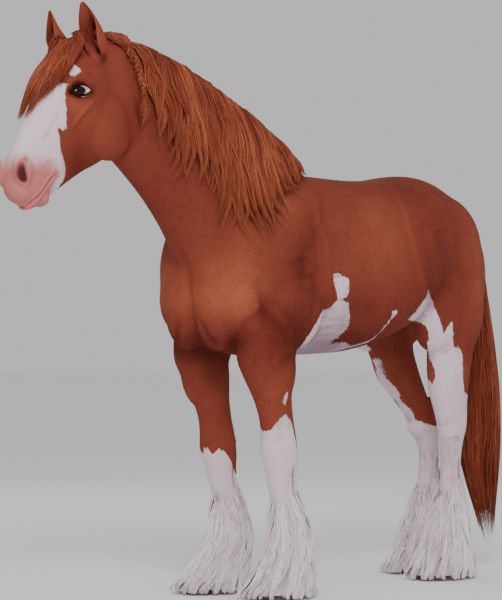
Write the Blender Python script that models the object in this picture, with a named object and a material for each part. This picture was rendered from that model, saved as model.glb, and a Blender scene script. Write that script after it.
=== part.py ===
"""A life-size Shire horse standing square, as a still museum model.

Metres, +Z up. The horse faces -X and its left side is -Y. The modelling frame has its zero on the
floor midway between the fore feet, and the last step moves the origin to the middle of the floor
under the whole horse. Masses of flesh are lofted or blown up as ovals, melted into one skin, thinned
out and parted into head, neck, torso and legs by thin cuts. Hair is set on that skin lock by lock.
"""

import math
import random

import bmesh
import bpy
from mathutils import Matrix, Vector
from mathutils.bvhtree import BVHTree

GAP = 0.0003  # kept between two pieces that touch

# Melting and thinning of the flesh.
BODY_VOXEL = 0.0125
BODY_MELT = 8
BODY_FACES = 3650
HEAD_VOXEL = 0.0065
HEAD_MELT = 7
HEAD_FACES = 1500

# Stance.
FORE_Y = 0.19  # half the distance between the fore feet
HIND_Y = 0.148
HIND_X = 1.25  # near hind cannon behind the fore feet
CORONET_Z = 0.100
KNEE_CUT_Z = 0.545
HOCK_CUT_Z = 0.580
FLOOR_CLEAR = 0.006  # hair ends this far above the floor

# Head.
EYE = Vector((-1.0470, 0.0810, 2.0725))
EYE_LONG = 0.052  # half sizes of the eyeball, along the slit, across it and inwards
EYE_HIGH = 0.0275
EYE_DEEP = 0.031
EAR_BASE = Vector((-0.955, 0.088, 2.250))
EAR_LENGTH = 0.214

# Hair.
MANE_LOCKS = 21
FORELOCK_LOCKS = 8
TAIL_LOCKS = 12
FEATHER_LOCKS = 11

CHESTNUT = (0.27, 0.062, 0.028)
FLAXEN_CHESTNUT = (0.34, 0.093, 0.04)
WHITE = (0.62, 0.58, 0.6)
HORN = (0.30, 0.2, 0.14)
EYE_BROWN = (0.02, 0.01, 0.008)


def clear_scene():
    for obj in list(bpy.data.objects):
        bpy.data.objects.remove(obj)


def finish(name, colour, roughness):
    made = bpy.data.materials.new(name)
    made.use_nodes = True
    shader = made.node_tree.nodes["Principled BSDF"]
    shader.inputs["Base Color"].default_value = (*colour, 1.0)
    shader.inputs["Roughness"].default_value = roughness
    return made


def object_from(bm, name, material=None):
    bm.normal_update()
    bmesh.ops.recalc_face_normals(bm, faces=bm.faces)
    mesh = bpy.data.meshes.new(name)
    bm.to_mesh(mesh)
    bm.free()
    obj = bpy.data.objects.new(name, mesh)
    bpy.context.scene.collection.objects.link(obj)
    if material:
        mesh.materials.append(material)
    return obj


def applied(obj):
    """Turns what the modifiers show into the object's own mesh."""
    graph = bpy.context.evaluated_depsgraph_get()
    graph.update()
    mesh = bpy.data.meshes.new_from_object(obj.evaluated_get(graph))
    obj.modifiers.clear()
    obj.data = mesh
    return obj


def is_closed(mesh):
    """Whether every edge has just two faces."""
    bm = bmesh.new()
    bm.from_mesh(mesh)
    closed = len(bm.faces) > 3 and all(edge.is_manifold for edge in bm.edges)
    bm.free()
    return closed


def boolean(obj, operation, other):
    """Joins or cuts obj with another object, or joins a whole collection to it."""
    before = obj.data.copy()
    for solver in ("MANIFOLD", "EXACT"):
        step = obj.modifiers.new(operation.lower(), "BOOLEAN")
        step.operation = operation
        step.solver = solver
        if isinstance(other, bpy.types.Collection):
            step.operand_type = "COLLECTION"
            step.collection = other
        else:
            step.object = other
        applied(obj)
        if is_closed(obj.data):
            return obj
        print(obj.name, operation, "left an open edge with", solver)
        if solver == "MANIFOLD":
            obj.data = before
    return obj


def keep_largest(obj):
    """Drops every loose surface but the largest, which also fills sealed hollows."""
    bm = bmesh.new()
    bm.from_mesh(obj.data)
    seen = set()
    shells = []
    for start in bm.verts:
        if start in seen:
            continue
        shell = {start}
        front = [start]
        while front:
            for edge in front.pop().link_edges:
                for vert in edge.verts:
                    if vert not in shell:
                        shell.add(vert)
                        front.append(vert)
        seen |= shell
        shells.append(shell)
    shells.sort(key=len)
    loose = [vert for shell in shells[:-1] for vert in shell]
    bmesh.ops.delete(bm, geom=loose, context="VERTS")
    bmesh.ops.triangulate(bm, faces=bm.faces)
    bm.to_mesh(obj.data)
    bmesh.ops.dissolve_degenerate(bm, edges=bm.edges, dist=2e-5)
    bmesh.ops.triangulate(bm, faces=bm.faces)
    if all(edge.is_manifold for edge in bm.edges):
        bm.to_mesh(obj.data)
    bm.free()
    return obj


def spread(stations, steps=4):
    """Fills in between stations of numbers with a smooth curve through them."""
    filled = []
    last = len(stations) - 1
    for i in range(last):
        a = stations[max(i - 1, 0)]
        b = stations[i]
        c = stations[i + 1]
        d = stations[min(i + 2, last)]
        for k in range(steps):
            t = k / steps
            filled.append(
                [
                    q + 0.5 * t * (r - p + t * (2 * p - 5 * q + 4 * r - s + t * (3 * (q - r) + s - p)))
                    for p, q, r, s in zip(a, b, c, d)
                ]
            )
    filled.append(list(stations[last]))
    return filled


def mix(a, b, t):
    return a + (b - a) * t


def ramp(t, low, high):
    """0 below low, 1 above high, eased between."""
    t = min(max((t - low) / (high - low), 0.0), 1.0)
    return t * t * (3 - 2 * t)


def along(table, x):
    """Reads a table of (x, value) rows at x."""
    if x <= table[0][0]:
        return table[0][1]
    for (x0, v0), (x1, v1) in zip(table, table[1:]):
        if x <= x1:
            return mix(v0, v1, (x - x0) / (x1 - x0))
    return table[-1][1]


def power(value, exponent):
    return math.copysign(abs(value) ** exponent, value)


def loft(bm, rings):
    """Skins a run of rings and closes both ends."""
    rows = [[bm.verts.new(point) for point in ring] for ring in rings]
    count = len(rows[0])
    for low, high in zip(rows, rows[1:]):
        for k in range(count):
            bm.faces.new((low[k], low[(k + 1) % count], high[(k + 1) % count], high[k]))
    bm.faces.new(rows[0][::-1])
    bm.faces.new(rows[-1])


def median_ring(top_x, top_z, low_x, low_z, half_width, widest, upper, lower, count=28):
    """An oval across the midline between a top point and a low point. widest is the height of its
    greatest width, and upper and lower are the powers that draw its two halves."""
    top = Vector((top_x, 0, top_z))
    low = Vector((low_x, 0, low_z))
    middle = low.lerp(top, widest)
    ring = []
    for k in range(count):
        angle = 2 * math.pi * k / count
        side = power(math.cos(angle), upper if math.sin(angle) > 0 else lower)
        rise = math.sin(angle)
        end = top if rise > 0 else low
        ring.append(middle.lerp(end, abs(rise)) + Vector((0, half_width * side, 0)))
    return ring


def median_loft(bm, stations):
    loft(bm, [median_ring(*row) for row in spread(stations)])


def level_ring(x_front, x_back, y, half_width, z, count=20, square=0.92):
    """A level oval, such as a slice through a leg."""
    centre = (x_front + x_back) / 2
    reach = (x_back - x_front) / 2
    return [
        Vector(
            (
                centre + reach * power(math.cos(2 * math.pi * k / count), square),
                y + half_width * power(math.sin(2 * math.pi * k / count), square),
                z,
            )
        )
        for k in range(count)
    ]


def oval(bm, centre, radii, pitch=0.0, yaw=0.0, segments=20):
    """An egg of flesh. pitch tips its long axis nose down, and yaw swings it out to the side."""
    turn = Matrix.Rotation(yaw, 4, "Z") @ Matrix.Rotation(pitch, 4, "Y")
    place = Matrix.Translation(centre) @ turn @ Matrix.Diagonal((*radii, 1.0))
    bmesh.ops.create_uvsphere(bm, u_segments=segments, v_segments=segments // 2, radius=1.0, matrix=place)


def paired_oval(bm, x, y, z, radii, pitch=0.0, yaw=0.0):
    oval(bm, (x, y, z), radii, pitch, yaw)
    oval(bm, (x, -y, z), radii, pitch, -yaw)


# Outlines of the trunk: top x and z, low x and z, half width, height of the greatest width,
# and the powers of the upper and lower halves.
TRUNK = [
    (-0.335, 1.420, -0.335, 1.255, 0.100, 0.5, 1.0, 1.0),
    (-0.300, 1.560, -0.305, 1.145, 0.195, 0.5, 0.9, 1.0),
    (-0.225, 1.680, -0.225, 1.075, 0.258, 0.52, 0.9, 1.0),
    (-0.080, 1.745, -0.080, 1.025, 0.272, 0.48, 0.95, 1.0),
    (0.120, 1.792, 0.120, 1.013, 0.280, 0.46, 1.0, 1.0),
    (0.340, 1.803, 0.340, 1.018, 0.315, 0.46, 0.98, 0.95),
    (0.600, 1.793, 0.600, 1.031, 0.358, 0.46, 0.85, 0.9),
    (0.820, 1.801, 0.820, 1.083, 0.366, 0.46, 0.82, 0.9),
    (1.020, 1.829, 1.020, 1.150, 0.335, 0.48, 0.82, 0.95),
    (1.160, 1.810, 1.170, 1.195, 0.295, 0.5, 0.85, 1.0),
    (1.280, 1.758, 1.300, 1.215, 0.240, 0.55, 0.9, 1.0),
    (1.365, 1.682, 1.400, 1.245, 0.180, 0.55, 1.0, 1.0),
    (1.430, 1.600, 1.450, 1.305, 0.110, 0.5, 1.0, 1.0),
]

NECK = [
    (-0.930, 2.285, -0.880, 1.965, 0.080, 0.55, 1.0, 1.0),
    (-0.790, 2.320, -0.800, 1.842, 0.104, 0.50, 1.15, 1.0),
    (-0.640, 2.298, -0.698, 1.758, 0.114, 0.46, 1.25, 1.0),
    (-0.450, 2.250, -0.600, 1.676, 0.126, 0.44, 1.3, 1.0),
    (-0.250, 2.172, -0.502, 1.586, 0.146, 0.43, 1.3, 0.95),
    (-0.040, 2.065, -0.412, 1.488, 0.176, 0.42, 1.3, 0.95),
    (0.160, 1.932, -0.340, 1.380, 0.208, 0.42, 1.25, 0.95),
    (0.330, 1.806, -0.270, 1.240, 0.222, 0.42, 1.2, 0.95),
]

# The dorsal line of the head runs from poll to upper lip, and the low line from throat to chin.
HEAD = [
    (-0.860, 2.290, -0.790, 2.065, 0.060, 0.60, 1.0, 1.0),
    (-0.950, 2.288, -0.760, 1.965, 0.080, 0.60, 1.0, 1.0),
    (-1.040, 2.235, -0.785, 1.855, 0.094, 0.66, 0.9, 1.05),
    (-1.122, 2.155, -0.865, 1.800, 0.098, 0.70, 0.82, 1.15),
    (-1.185, 2.070, -0.955, 1.760, 0.085, 0.70, 0.80, 1.1),
    (-1.240, 1.988, -1.030, 1.720, 0.074, 0.66, 0.80, 1.0),
    (-1.288, 1.910, -1.090, 1.685, 0.066, 0.60, 0.80, 0.95),
    (-1.328, 1.840, -1.135, 1.660, 0.063, 0.55, 0.85, 0.95),
    (-1.354, 1.778, -1.180, 1.643, 0.065, 0.52, 0.9, 0.95),
    (-1.360, 1.728, -1.225, 1.632, 0.062, 0.50, 0.95, 1.0),
    (-1.346, 1.682, -1.262, 1.632, 0.042, 0.50, 1.0, 1.0),
]

# Slices through the legs: height, front, back and half width.
FORELEG = [
    (1.225, -0.160, 0.130, 0.090),
    (1.105, -0.200, 0.115, 0.106),
    (1.005, -0.200, 0.072, 0.099),
    (0.920, -0.162, 0.080, 0.082),
    (0.835, -0.108, 0.076, 0.071),
    (0.750, -0.075, 0.087, 0.065),
    (0.690, -0.066, 0.098, 0.070),
    (0.640, -0.062, 0.102, 0.075),
    (0.585, -0.054, 0.106, 0.072),
    (0.530, -0.040, 0.104, 0.063),
    (0.470, -0.026, 0.109, 0.057),
    (0.400, -0.006, 0.119, 0.055),
    (0.330, 0.008, 0.134, 0.056),
    (0.280, 0.012, 0.142, 0.061),
    (0.235, 0.002, 0.146, 0.063),
    (0.180, -0.026, 0.132, 0.066),
    (0.130, -0.060, 0.115, 0.078),
    (0.100, -0.080, 0.110, 0.086),
    (0.060, -0.090, 0.112, 0.090),
]

HINDLEG = [
    (1.365, -0.230, 0.110, 0.110),
    (1.225, -0.240, 0.135, 0.120),
    (1.115, -0.205, 0.110, 0.100),
    (1.045, -0.192, 0.080, 0.085),
    (0.945, -0.188, 0.070, 0.076),
    (0.850, -0.164, 0.068, 0.068),
    (0.785, -0.134, 0.074, 0.060),
    (0.730, -0.106, 0.082, 0.056),
    (0.685, -0.086, 0.082, 0.055),
    (0.625, -0.068, 0.066, 0.050),
    (0.560, -0.056, 0.056, 0.045),
    (0.470, -0.056, 0.056, 0.044),
    (0.390, -0.064, 0.060, 0.047),
    (0.310, -0.074, 0.062, 0.055),
    (0.250, -0.090, 0.054, 0.058),
    (0.190, -0.114, 0.040, 0.062),
    (0.140, -0.140, 0.030, 0.074),
    (0.100, -0.160, 0.030, 0.086),
    (0.060, -0.168, 0.032, 0.090),
]

# Hoof slices: height, how far the wall reaches ahead of and behind the coronet's middle, half width.
HOOF = [
    (0.0, -0.136, 0.098, 0.099),
    (0.030, -0.119, 0.096, 0.096),
    (0.070, -0.095, 0.090, 0.087),
    (CORONET_Z - GAP, -0.077, 0.083, 0.077),
]

# Slices through the bell of feather over each foot, as for the legs.
FORE_BELL = [
    (0.515, -0.030, 0.096, 0.054),
    (0.400, -0.014, 0.130, 0.064),
    (0.310, -0.006, 0.170, 0.074),
    (0.240, -0.012, 0.188, 0.086),
    (0.180, -0.032, 0.192, 0.098),
    (0.120, -0.068, 0.186, 0.113),
    (0.060, -0.116, 0.182, 0.128),
    (0.024, -0.158, 0.180, 0.134),
]
HIND_BELL = [
    (0.515, -0.050, 0.050, 0.040),
    (0.400, -0.076, 0.068, 0.052),
    (0.310, -0.100, 0.080, 0.066),
    (0.240, -0.130, 0.082, 0.083),
    (0.170, -0.156, 0.086, 0.098),
    (0.110, -0.186, 0.092, 0.112),
    (0.060, -0.218, 0.098, 0.124),
    (0.024, -0.246, 0.100, 0.128),
]

# How far back the off legs stand from the near ones, by height.
OFF_FORE_BACK = [(0.06, -0.008), (0.26, 0.044), (0.40, 0.050), (0.54, 0.038), (0.70, 0.028), (1.00, 0.008)]
OFF_HIND_BACK = [
    (0.00, 0.185),
    (0.20, 0.200),
    (0.55, 0.220),
    (0.73, 0.176),
    (0.84, 0.128),
    (0.97, 0.068),
    (1.08, 0.020),
    (1.20, 0.0),
]


class Leg:
    """One leg: its slices, where it stands and which side it is on."""

    def __init__(self, name, slices, bell, x, side, half_apart, top_y, back=None):
        self.name = name
        self.slices = slices
        self.bell = bell
        self.x = x
        self.side = side
        self.half_apart = half_apart
        self.top_y = top_y
        self.back = back or [(0.0, 0.0)]

    def lean(self, z):
        """How far back the leg stands at a height."""
        return along(self.back, z)

    def y(self, z):
        return self.side * mix(self.half_apart, self.top_y, ramp(z, 0.5, 1.15))

    def slice(self, z, front, back, half, count=20):
        shift = self.x + self.lean(z)
        return level_ring(shift + front, shift + back, self.y(z), half, z, count)

    def rings(self):
        return [self.slice(*row) for row in spread(self.slices, 3)]

    def middle(self, z):
        """The middle of the slice at a height."""
        front = along(sorted((row[0], row[1]) for row in self.slices), z)
        back = along(sorted((row[0], row[2]) for row in self.slices), z)
        return Vector((self.x + (front + back) / 2 + self.lean(z), self.y(z), z))

    def foot(self):
        """The middle of the coronet, where the hoof hangs."""
        return self.middle(CORONET_Z)


def four_legs():
    return [
        Leg("foreleg_left", FORELEG, FORE_BELL, 0.0, -1, FORE_Y, 0.185),
        Leg("foreleg_right", FORELEG, FORE_BELL, 0.0, 1, FORE_Y, 0.185, OFF_FORE_BACK),
        Leg("hindleg_left", HINDLEG, HIND_BELL, HIND_X, -1, HIND_Y, 0.195),
        Leg("hindleg_right", HINDLEG, HIND_BELL, HIND_X, 1, HIND_Y, 0.195, OFF_HIND_BACK),
    ]


def trunk_masses(bm):
    """The big muscles that show under the coat of the shoulder and the quarters."""
    paired_oval(bm, 0.010, 0.175, 1.470, (0.340, 0.105, 0.165), pitch=-0.80, yaw=0.10)
    paired_oval(bm, -0.190, 0.168, 1.260, (0.112, 0.098, 0.165))
    paired_oval(bm, 0.075, 0.205, 1.235, (0.190, 0.095, 0.195))
    paired_oval(bm, -0.250, 0.085, 1.235, (0.098, 0.105, 0.200))
    paired_oval(bm, -0.045, 0.185, 1.075, (0.150, 0.108, 0.165))
    oval(bm, (0.260, 0.0, 1.730), (0.290, 0.070, 0.066), pitch=0.16)
    paired_oval(bm, 1.160, 0.165, 1.475, (0.240, 0.150, 0.268))
    paired_oval(bm, 1.075, 0.205, 1.295, (0.160, 0.115, 0.270), pitch=-0.12)
    paired_oval(bm, 1.315, 0.135, 1.350, (0.150, 0.125, 0.290), pitch=0.10)
    paired_oval(bm, 1.050, 0.200, 1.155, (0.105, 0.095, 0.130))
    paired_oval(bm, 0.985, 0.225, 1.665, (0.110, 0.080, 0.075))


def leg_masses(bm, leg):
    """Knee and hock bones and the muscle above them."""
    side = leg.side
    if leg.slices is FORELEG:
        back = leg.lean(0.62)
        oval(bm, (leg.x - 0.030, leg.y(0.97) + side * 0.02, 0.970), (0.115, 0.080, 0.180))
        oval(bm, (leg.x - 0.008 + back, leg.y(0.62), 0.630), (0.054, 0.074, 0.070))
        oval(bm, (leg.x + 0.098 + back, leg.y(0.64), 0.645), (0.030, 0.030, 0.040))
    else:
        back = leg.lean(0.73)
        oval(bm, (leg.x + 0.058 + back, leg.y(0.74), 0.750), (0.030, 0.030, 0.075), pitch=0.12)
        oval(bm, (leg.x - 0.015 + back, leg.y(0.69), 0.690), (0.074, 0.058, 0.075))
        oval(bm, (leg.x - 0.065 + leg.lean(1.0), leg.y(1.00), 1.005), (0.115, 0.083, 0.180), pitch=-0.25)


def head_masses(bm):
    """Jowls, brows, cheek ridges, nostril rims, lips and chin."""
    paired_oval(bm, -0.860, 0.050, 1.962, (0.156, 0.054, 0.158))
    paired_oval(bm, -1.045, 0.066, 2.085, (0.070, 0.036, 0.066), pitch=-0.9)
    paired_oval(bm, -1.040, 0.074, 1.985, (0.110, 0.022, 0.020), pitch=-0.95, yaw=0.12)
    paired_oval(bm, -1.316, 0.040, 1.742, (0.046, 0.040, 0.068), pitch=-0.15)
    oval(bm, (-1.304, 0.0, 1.678), (0.052, 0.062, 0.066), pitch=-0.6)
    oval(bm, (-1.236, 0.0, 1.645), (0.060, 0.050, 0.036), pitch=-0.75)
    oval(bm, (-1.190, 0.0, 1.648), (0.046, 0.042, 0.038))
    oval(bm, (-0.955, 0.0, 2.245), (0.080, 0.070, 0.052))
    paired_oval(bm, -0.946, 0.064, 2.220, (0.044, 0.030, 0.044))


def melted(bm, name, voxel, passes, faces):
    """Fuses a heap of closed masses into one skin, softens it and thins it out."""
    obj = object_from(bm, name)
    fuse = obj.modifiers.new("fuse", "REMESH")
    fuse.mode = "VOXEL"
    fuse.voxel_size = voxel
    soften = obj.modifiers.new("soften", "SMOOTH")
    soften.factor = 0.5
    soften.iterations = passes
    applied(obj)
    obj.data.calc_loop_triangles()
    thin = obj.modifiers.new("thin", "DECIMATE")
    thin.ratio = faces / len(obj.data.loop_triangles)
    return applied(obj)


def prism(name, outline, axis, low, high):
    """A closed block: an outline in the plane across an axis, drawn from low to high along it."""
    bm = bmesh.new()

    def place(a, b, c):
        return Vector((a, c, b)) if axis == "Y" else Vector((c, a, b))

    rings = [[place(a, b, c) for a, b in outline] for c in (low, high)]
    loft(bm, rings)
    cutter = object_from(bm, name)
    cutter.hide_render = True
    cutter.display_type = "WIRE"
    return cutter


def copy_of(obj, name):
    other = obj.copy()
    other.data = obj.data.copy()
    other.name = name
    bpy.context.scene.collection.objects.link(other)
    return other


def remove(*objects):
    for obj in objects:
        bpy.data.objects.remove(obj)


def cut_out(body, name, block, block_grown):
    """Takes the part of body inside a block as its own piece, and leaves the rest, a gap away."""
    piece = copy_of(body, name)
    boolean(piece, "INTERSECT", block)
    boolean(body, "DIFFERENCE", block_grown)
    remove(block, block_grown)
    return keep_largest(piece)


def head_outline(grow):
    """The head's region seen from the side: behind the ears, round the jowl and up the throat."""
    return [
        (-2.0, 1.0),
        (-0.770 + grow, 1.0),
        (-0.770 + grow, 1.755),
        (-0.700 + grow, 1.865),
        (-0.700 + grow, 2.045 + grow),
        (-0.895 + grow, 2.215 + grow),
        (-0.895 + grow, 2.8),
        (-2.0, 2.8),
    ]


def neck_outline(grow):
    """The neck's region seen from the side, above a line from the withers to the breast."""
    return [(-1.5, 0.855 - grow), (1.0, 2.241 - grow), (1.0, 3.0), (-1.5, 3.0)]


def leg_outline(side, grow, inner_z, slope):
    """A leg's region seen from behind: under a line that rises outwards from beneath the breast."""
    reach = 0.6
    inner = 0.03
    return [
        (side * inner, -0.2),
        (side * reach, -0.2),
        (side * reach, inner_z + slope * (reach - inner) + grow),
        (side * inner, inner_z + grow),
    ]


def below_outline(z, grow):
    return [(-3.0, -0.5), (3.0, -0.5), (3.0, z + grow), (-3.0, z + grow)]


class Skin:
    """The surface that hair is laid on."""

    def __init__(self, *objects):
        points = []
        faces = []
        for obj in objects:
            first = len(points)
            points += [obj.matrix_world @ vert.co for vert in obj.data.vertices]
            faces += [[first + k for k in face.vertices] for face in obj.data.polygons]
        self.tree = BVHTree.FromPolygons(points, faces)

    def from_side(self, x, z, side):
        """The point and normal that a look straight in from the left or right side meets."""
        point, normal, _, _ = self.tree.ray_cast(Vector((x, side * 1.0, z)), Vector((0, -side, 0)))
        return point, normal

    def towards(self, start, target):
        point, normal, _, _ = self.tree.ray_cast(start, (target - start).normalized())
        return point, normal

    def nearest(self, place):
        point, normal, _, _ = self.tree.find_nearest(place)
        return point, normal


def lock(name, path, faces_out, width, thickness, root_share=0.8):
    """A flat, tapered lock along a path. faces_out holds the outward direction at each point."""
    bm = bmesh.new()
    rings = []
    last = len(path) - 1
    for i, (point, out) in enumerate(zip(path, faces_out)):
        ahead = path[min(i + 1, last)] - path[max(i - 1, 0)]
        across = ahead.cross(out).normalized()
        lift = across.cross(ahead).normalized()
        t = i / last
        swell = mix(root_share, 1.0, ramp(t, 0.0, 0.3)) * (1 - 0.93 * ramp(t, 0.45, 1.04) ** 1.2)
        half = width * swell / 2
        deep = thickness * (0.35 + 0.65 * swell) / 2
        rings.append([point + across * half, point + lift * deep, point - across * half, point - lift * deep])
    loft(bm, rings)
    return object_from(bm, name)


def fuse(base, pieces):
    """Joins hair to the piece it grows from, in one Boolean union."""
    heap = bpy.data.collections.new("hair")
    bpy.context.scene.collection.children.link(heap)
    for piece in pieces:
        bpy.context.scene.collection.objects.unlink(piece)
        heap.objects.link(piece)
    boolean(base, "UNION", heap)
    remove(*pieces)
    bpy.data.collections.remove(heap)
    return keep_largest(base)


def seat(parent, child):
    """Cuts the bed of a child piece out of its parent, a gap wider than the child."""
    bed = copy_of(child, "bed")
    bm = bmesh.new()
    bm.from_mesh(bed.data)
    bm.normal_update()
    moves = [vert.normal * GAP * 1.6 for vert in bm.verts]
    for vert, move in zip(bm.verts, moves):
        vert.co += move
    bm.to_mesh(bed.data)
    bm.free()
    boolean(parent, "DIFFERENCE", bed)
    remove(bed)
    return keep_largest(parent)


# The crest of the neck from poll to withers, the height of the mane's tips under it.
CREST = [(-0.84, 2.311), (-0.64, 2.294), (-0.45, 2.246), (-0.25, 2.168), (-0.04, 2.060), (0.16, 1.928), (0.30, 1.836)]
MANE_TIPS = [
    (-0.84, 1.965),
    (-0.72, 1.905),
    (-0.60, 1.765),
    (-0.45, 1.720),
    (-0.33, 1.635),
    (-0.20, 1.520),
    (-0.10, 1.495),
    (0.00, 1.545),
    (0.10, 1.625),
    (0.20, 1.705),
    (0.30, 1.755),
]


def mane(skin, draw):
    """Locks that leave the crest, roll over its left edge and hang down the near side."""
    made = []
    for i in range(MANE_LOCKS):
        x0 = mix(-0.750, 0.205, i / (MANE_LOCKS - 1))
        top = along(CREST, x0)
        tip = along(MANE_TIPS, x0) + draw.uniform(-0.015, 0.045)
        sweep = draw.uniform(0.015, 0.055)
        wave = draw.uniform(0.008, 0.016)
        phase = draw.uniform(0, 6.28)
        lift = 0.018 + 0.015 * (i % 2)
        path = [Vector((x0, 0.010, top - 0.022))]
        outs = [Vector((0, 0, 1))]
        stations = 6
        for k in range(1, stations):
            t = k / (stations - 1)
            x = x0 + sweep * t + wave * math.sin(phase + 5 * t) * t
            z = mix(top - 0.030, tip, t ** 1.15)
            point, normal = skin.from_side(x, z, -1)
            out = (normal + Vector((0, -0.6, 0))).normalized()
            path.append(point + out * ((lift if k > 1 else 0.7 * lift) + 0.008 * t))
            outs.append(out)
        made.append(lock(f"mane_{i}", path, outs, draw.uniform(0.060, 0.072), 0.012))
    return made


def forelock(skin, draw):
    """Locks that spring from the poll between the ears and fan out over the forehead."""
    made = []
    line = [(-0.940, 2.285), (-1.050, 2.235), (-1.138, 2.150), (-1.200, 2.070), (-1.250, 1.980), (-1.290, 1.915)]
    for i in range(FORELOCK_LOCKS):
        turn = mix(-1.0, 1.0, i / (FORELOCK_LOCKS - 1))
        reach = mix(2.6, 4.3, ramp(turn, -1.0, 0.1)) + draw.uniform(-0.15, 0.15)
        layer = i % 2
        path = []
        outs = []
        for k in range(6):
            t = k / 5
            at = reach * t
            low = min(int(at), 4)
            x = mix(line[low][0], line[low + 1][0], at - low)
            z = mix(line[low][1], line[low + 1][1], at - low)
            y = turn * (0.040 + 0.055 * t)
            point, normal = skin.nearest(Vector((x - 0.05, y * 1.3, z + 0.03)))
            lift = mix(-0.010, 0.012 + 0.015 * layer, ramp(t, 0.0, 0.25)) + 0.012 * math.sin(math.pi * t)
            path.append(point + normal * lift)
            outs.append(normal)
        made.append(lock(f"forelock_{i}", path, outs, draw.uniform(0.056, 0.064), 0.011, 0.6))
    return made


def plait(skin):
    """A plait that hangs from behind the left ear, lobed where its strands cross, and its loose tuft."""
    spine = [(-0.800, 2.268), (-0.802, 2.222), (-0.796, 2.185), (-0.787, 2.144), (-0.774, 2.100), (-0.764, 2.060)]
    rows = spread(spine, 3)
    places = []
    for k, (x, z) in enumerate(rows):
        point, normal = skin.from_side(x, z, -1)
        out = (normal * 0.4 + Vector((0, -1, 0))).normalized()
        lift = mix(0.004, 0.030, ramp(k / len(rows), 0.0, 0.35))
        places.append((point + out * lift, out))
    bm = bmesh.new()
    rings = []
    sides = 6
    for k, (middle, out) in enumerate(places):
        ahead = (places[min(k + 1, len(places) - 1)][0] - places[max(k - 1, 0)][0]).normalized()
        across = ahead.cross(out).normalized()
        weave = 0.0055 if k % 2 else -0.0055
        broad = mix(0.0165, 0.0115, k / len(places)) * (1.0 if k < len(places) - 1 else 0.6)
        turns = [2 * math.pi * s / sides for s in range(sides)]
        centre = middle + across * weave
        rings.append([centre + across * broad * math.cos(a) + out * 0.0105 * math.sin(a) for a in turns])
    loft(bm, rings)
    path = []
    outs = []
    for k in range(4):
        t = k / 3
        point, normal = skin.from_side(mix(-0.763, -0.735, t), mix(2.072, 1.945, t), -1)
        out = (normal * 0.4 + Vector((0, -1, 0))).normalized()
        path.append(point + out * mix(0.030, 0.024, t))
        outs.append(out)
    return [object_from(bm, "plait"), lock("plait_tuft", path, outs, 0.034, 0.016, 0.55)]


def bell(leg):
    """The full skirt of feather: down its outside, round the rim and up its inside to the coronet."""
    rows = list(leg.bell)
    foot = (HOOF[-1][1], HOOF[-1][2], HOOF[-1][3])
    middle = leg.foot().x - leg.x - leg.lean(CORONET_Z)
    inside = []
    for z, inset in ((0.022, 0.016), (0.060, 0.021)):
        front = along(sorted((row[0], row[1]) for row in rows), z)
        back = along(sorted((row[0], row[2]) for row in rows), z)
        half = along(sorted((row[0], row[3]) for row in rows), z)
        inside.append((z, front + inset, back - inset, half - inset))
    for z, wider in ((0.094, 0.006), (0.106, -0.002)):
        inside.append((z, middle + foot[0] - wider, middle + foot[1] + wider, foot[2] + wider))
    bm = bmesh.new()
    loft(bm, [leg.slice(*row, count=12) for row in rows + inside])
    return object_from(bm, leg.name + "_bell")


def feather(leg, draw):
    """Long hair that starts below the knee or hock and spreads in locks over the hoof."""
    made = [bell(leg)]
    rows = sorted(leg.bell)
    for i in range(FEATHER_LOCKS):
        angle = 2 * math.pi * (i + 0.5) / FEATHER_LOCKS
        rear = 0.5 + 0.5 * math.cos(angle)
        short = i % 3 == 1
        start = mix(0.270, 0.430, rear ** 1.2) + draw.uniform(-0.03, 0.03)
        end = FLOOR_CLEAR + draw.uniform(0.002, 0.014) + (0.050 if short else 0.0)
        path = []
        outs = []
        stations = 5
        for k in range(stations):
            t = k / (stations - 1)
            z = mix(start, end, t)
            spin = angle + 0.09 * math.sin(3.0 * t + i)
            front = along([(row[0], row[1]) for row in rows], z)
            back = along([(row[0], row[2]) for row in rows], z)
            half = along([(row[0], row[3]) for row in rows], z)
            shift = leg.x + leg.lean(z)
            way = Vector((math.cos(spin) * (back - front) / 2, math.sin(spin) * half, 0))
            centre = Vector((shift + (front + back) / 2, leg.y(z), z))
            outward = Vector((math.cos(spin), math.sin(spin), 0.2)).normalized()
            raised = mix(-0.008, 0.009 + 0.015 * (i % 2), ramp(t, 0.0, 0.3))
            path.append(centre + way + outward * raised)
            outs.append(outward)
        made.append(lock(f"{leg.name}_feather_{i}", path, outs, mix(0.070, 0.082, rear), 0.013, 0.6))
    return made


# The tail's middle line and girth: x, z, half depth and half width. The dock comes first.
TAIL = [
    (1.375, 1.648, 0.030, 0.030),
    (1.450, 1.650, 0.037, 0.037),
    (1.512, 1.622, 0.040, 0.040),
    (1.552, 1.556, 0.041, 0.042),
    (1.575, 1.455, 0.042, 0.046),
    (1.590, 1.330, 0.045, 0.054),
    (1.608, 1.200, 0.051, 0.064),
    (1.624, 1.060, 0.058, 0.076),
    (1.638, 0.880, 0.066, 0.086),
    (1.650, 0.700, 0.068, 0.088),
    (1.662, 0.540, 0.063, 0.080),
    (1.688, 0.400, 0.046, 0.058),
    (1.710, 0.300, 0.012, 0.016),
]


def tail_core():
    """The dock, and under it the body of hair that the locks lie on."""
    bm = bmesh.new()
    rings = []
    sides = 10
    for i, (x, z, depth, width) in enumerate(TAIL):
        after = TAIL[min(i + 1, len(TAIL) - 1)]
        before = TAIL[max(i - 1, 0)]
        ahead = Vector((after[0] - before[0], 0, after[1] - before[1])).normalized()
        rise = Vector((-ahead.z, 0, ahead.x))
        turns = [2 * math.pi * s / sides for s in range(sides)]
        rings.append(
            [Vector((x, 0, z)) + rise * depth * math.cos(a) + Vector((0, width, 0)) * math.sin(a) for a in turns]
        )
    loft(bm, rings)
    return object_from(bm, "tail")


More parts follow.
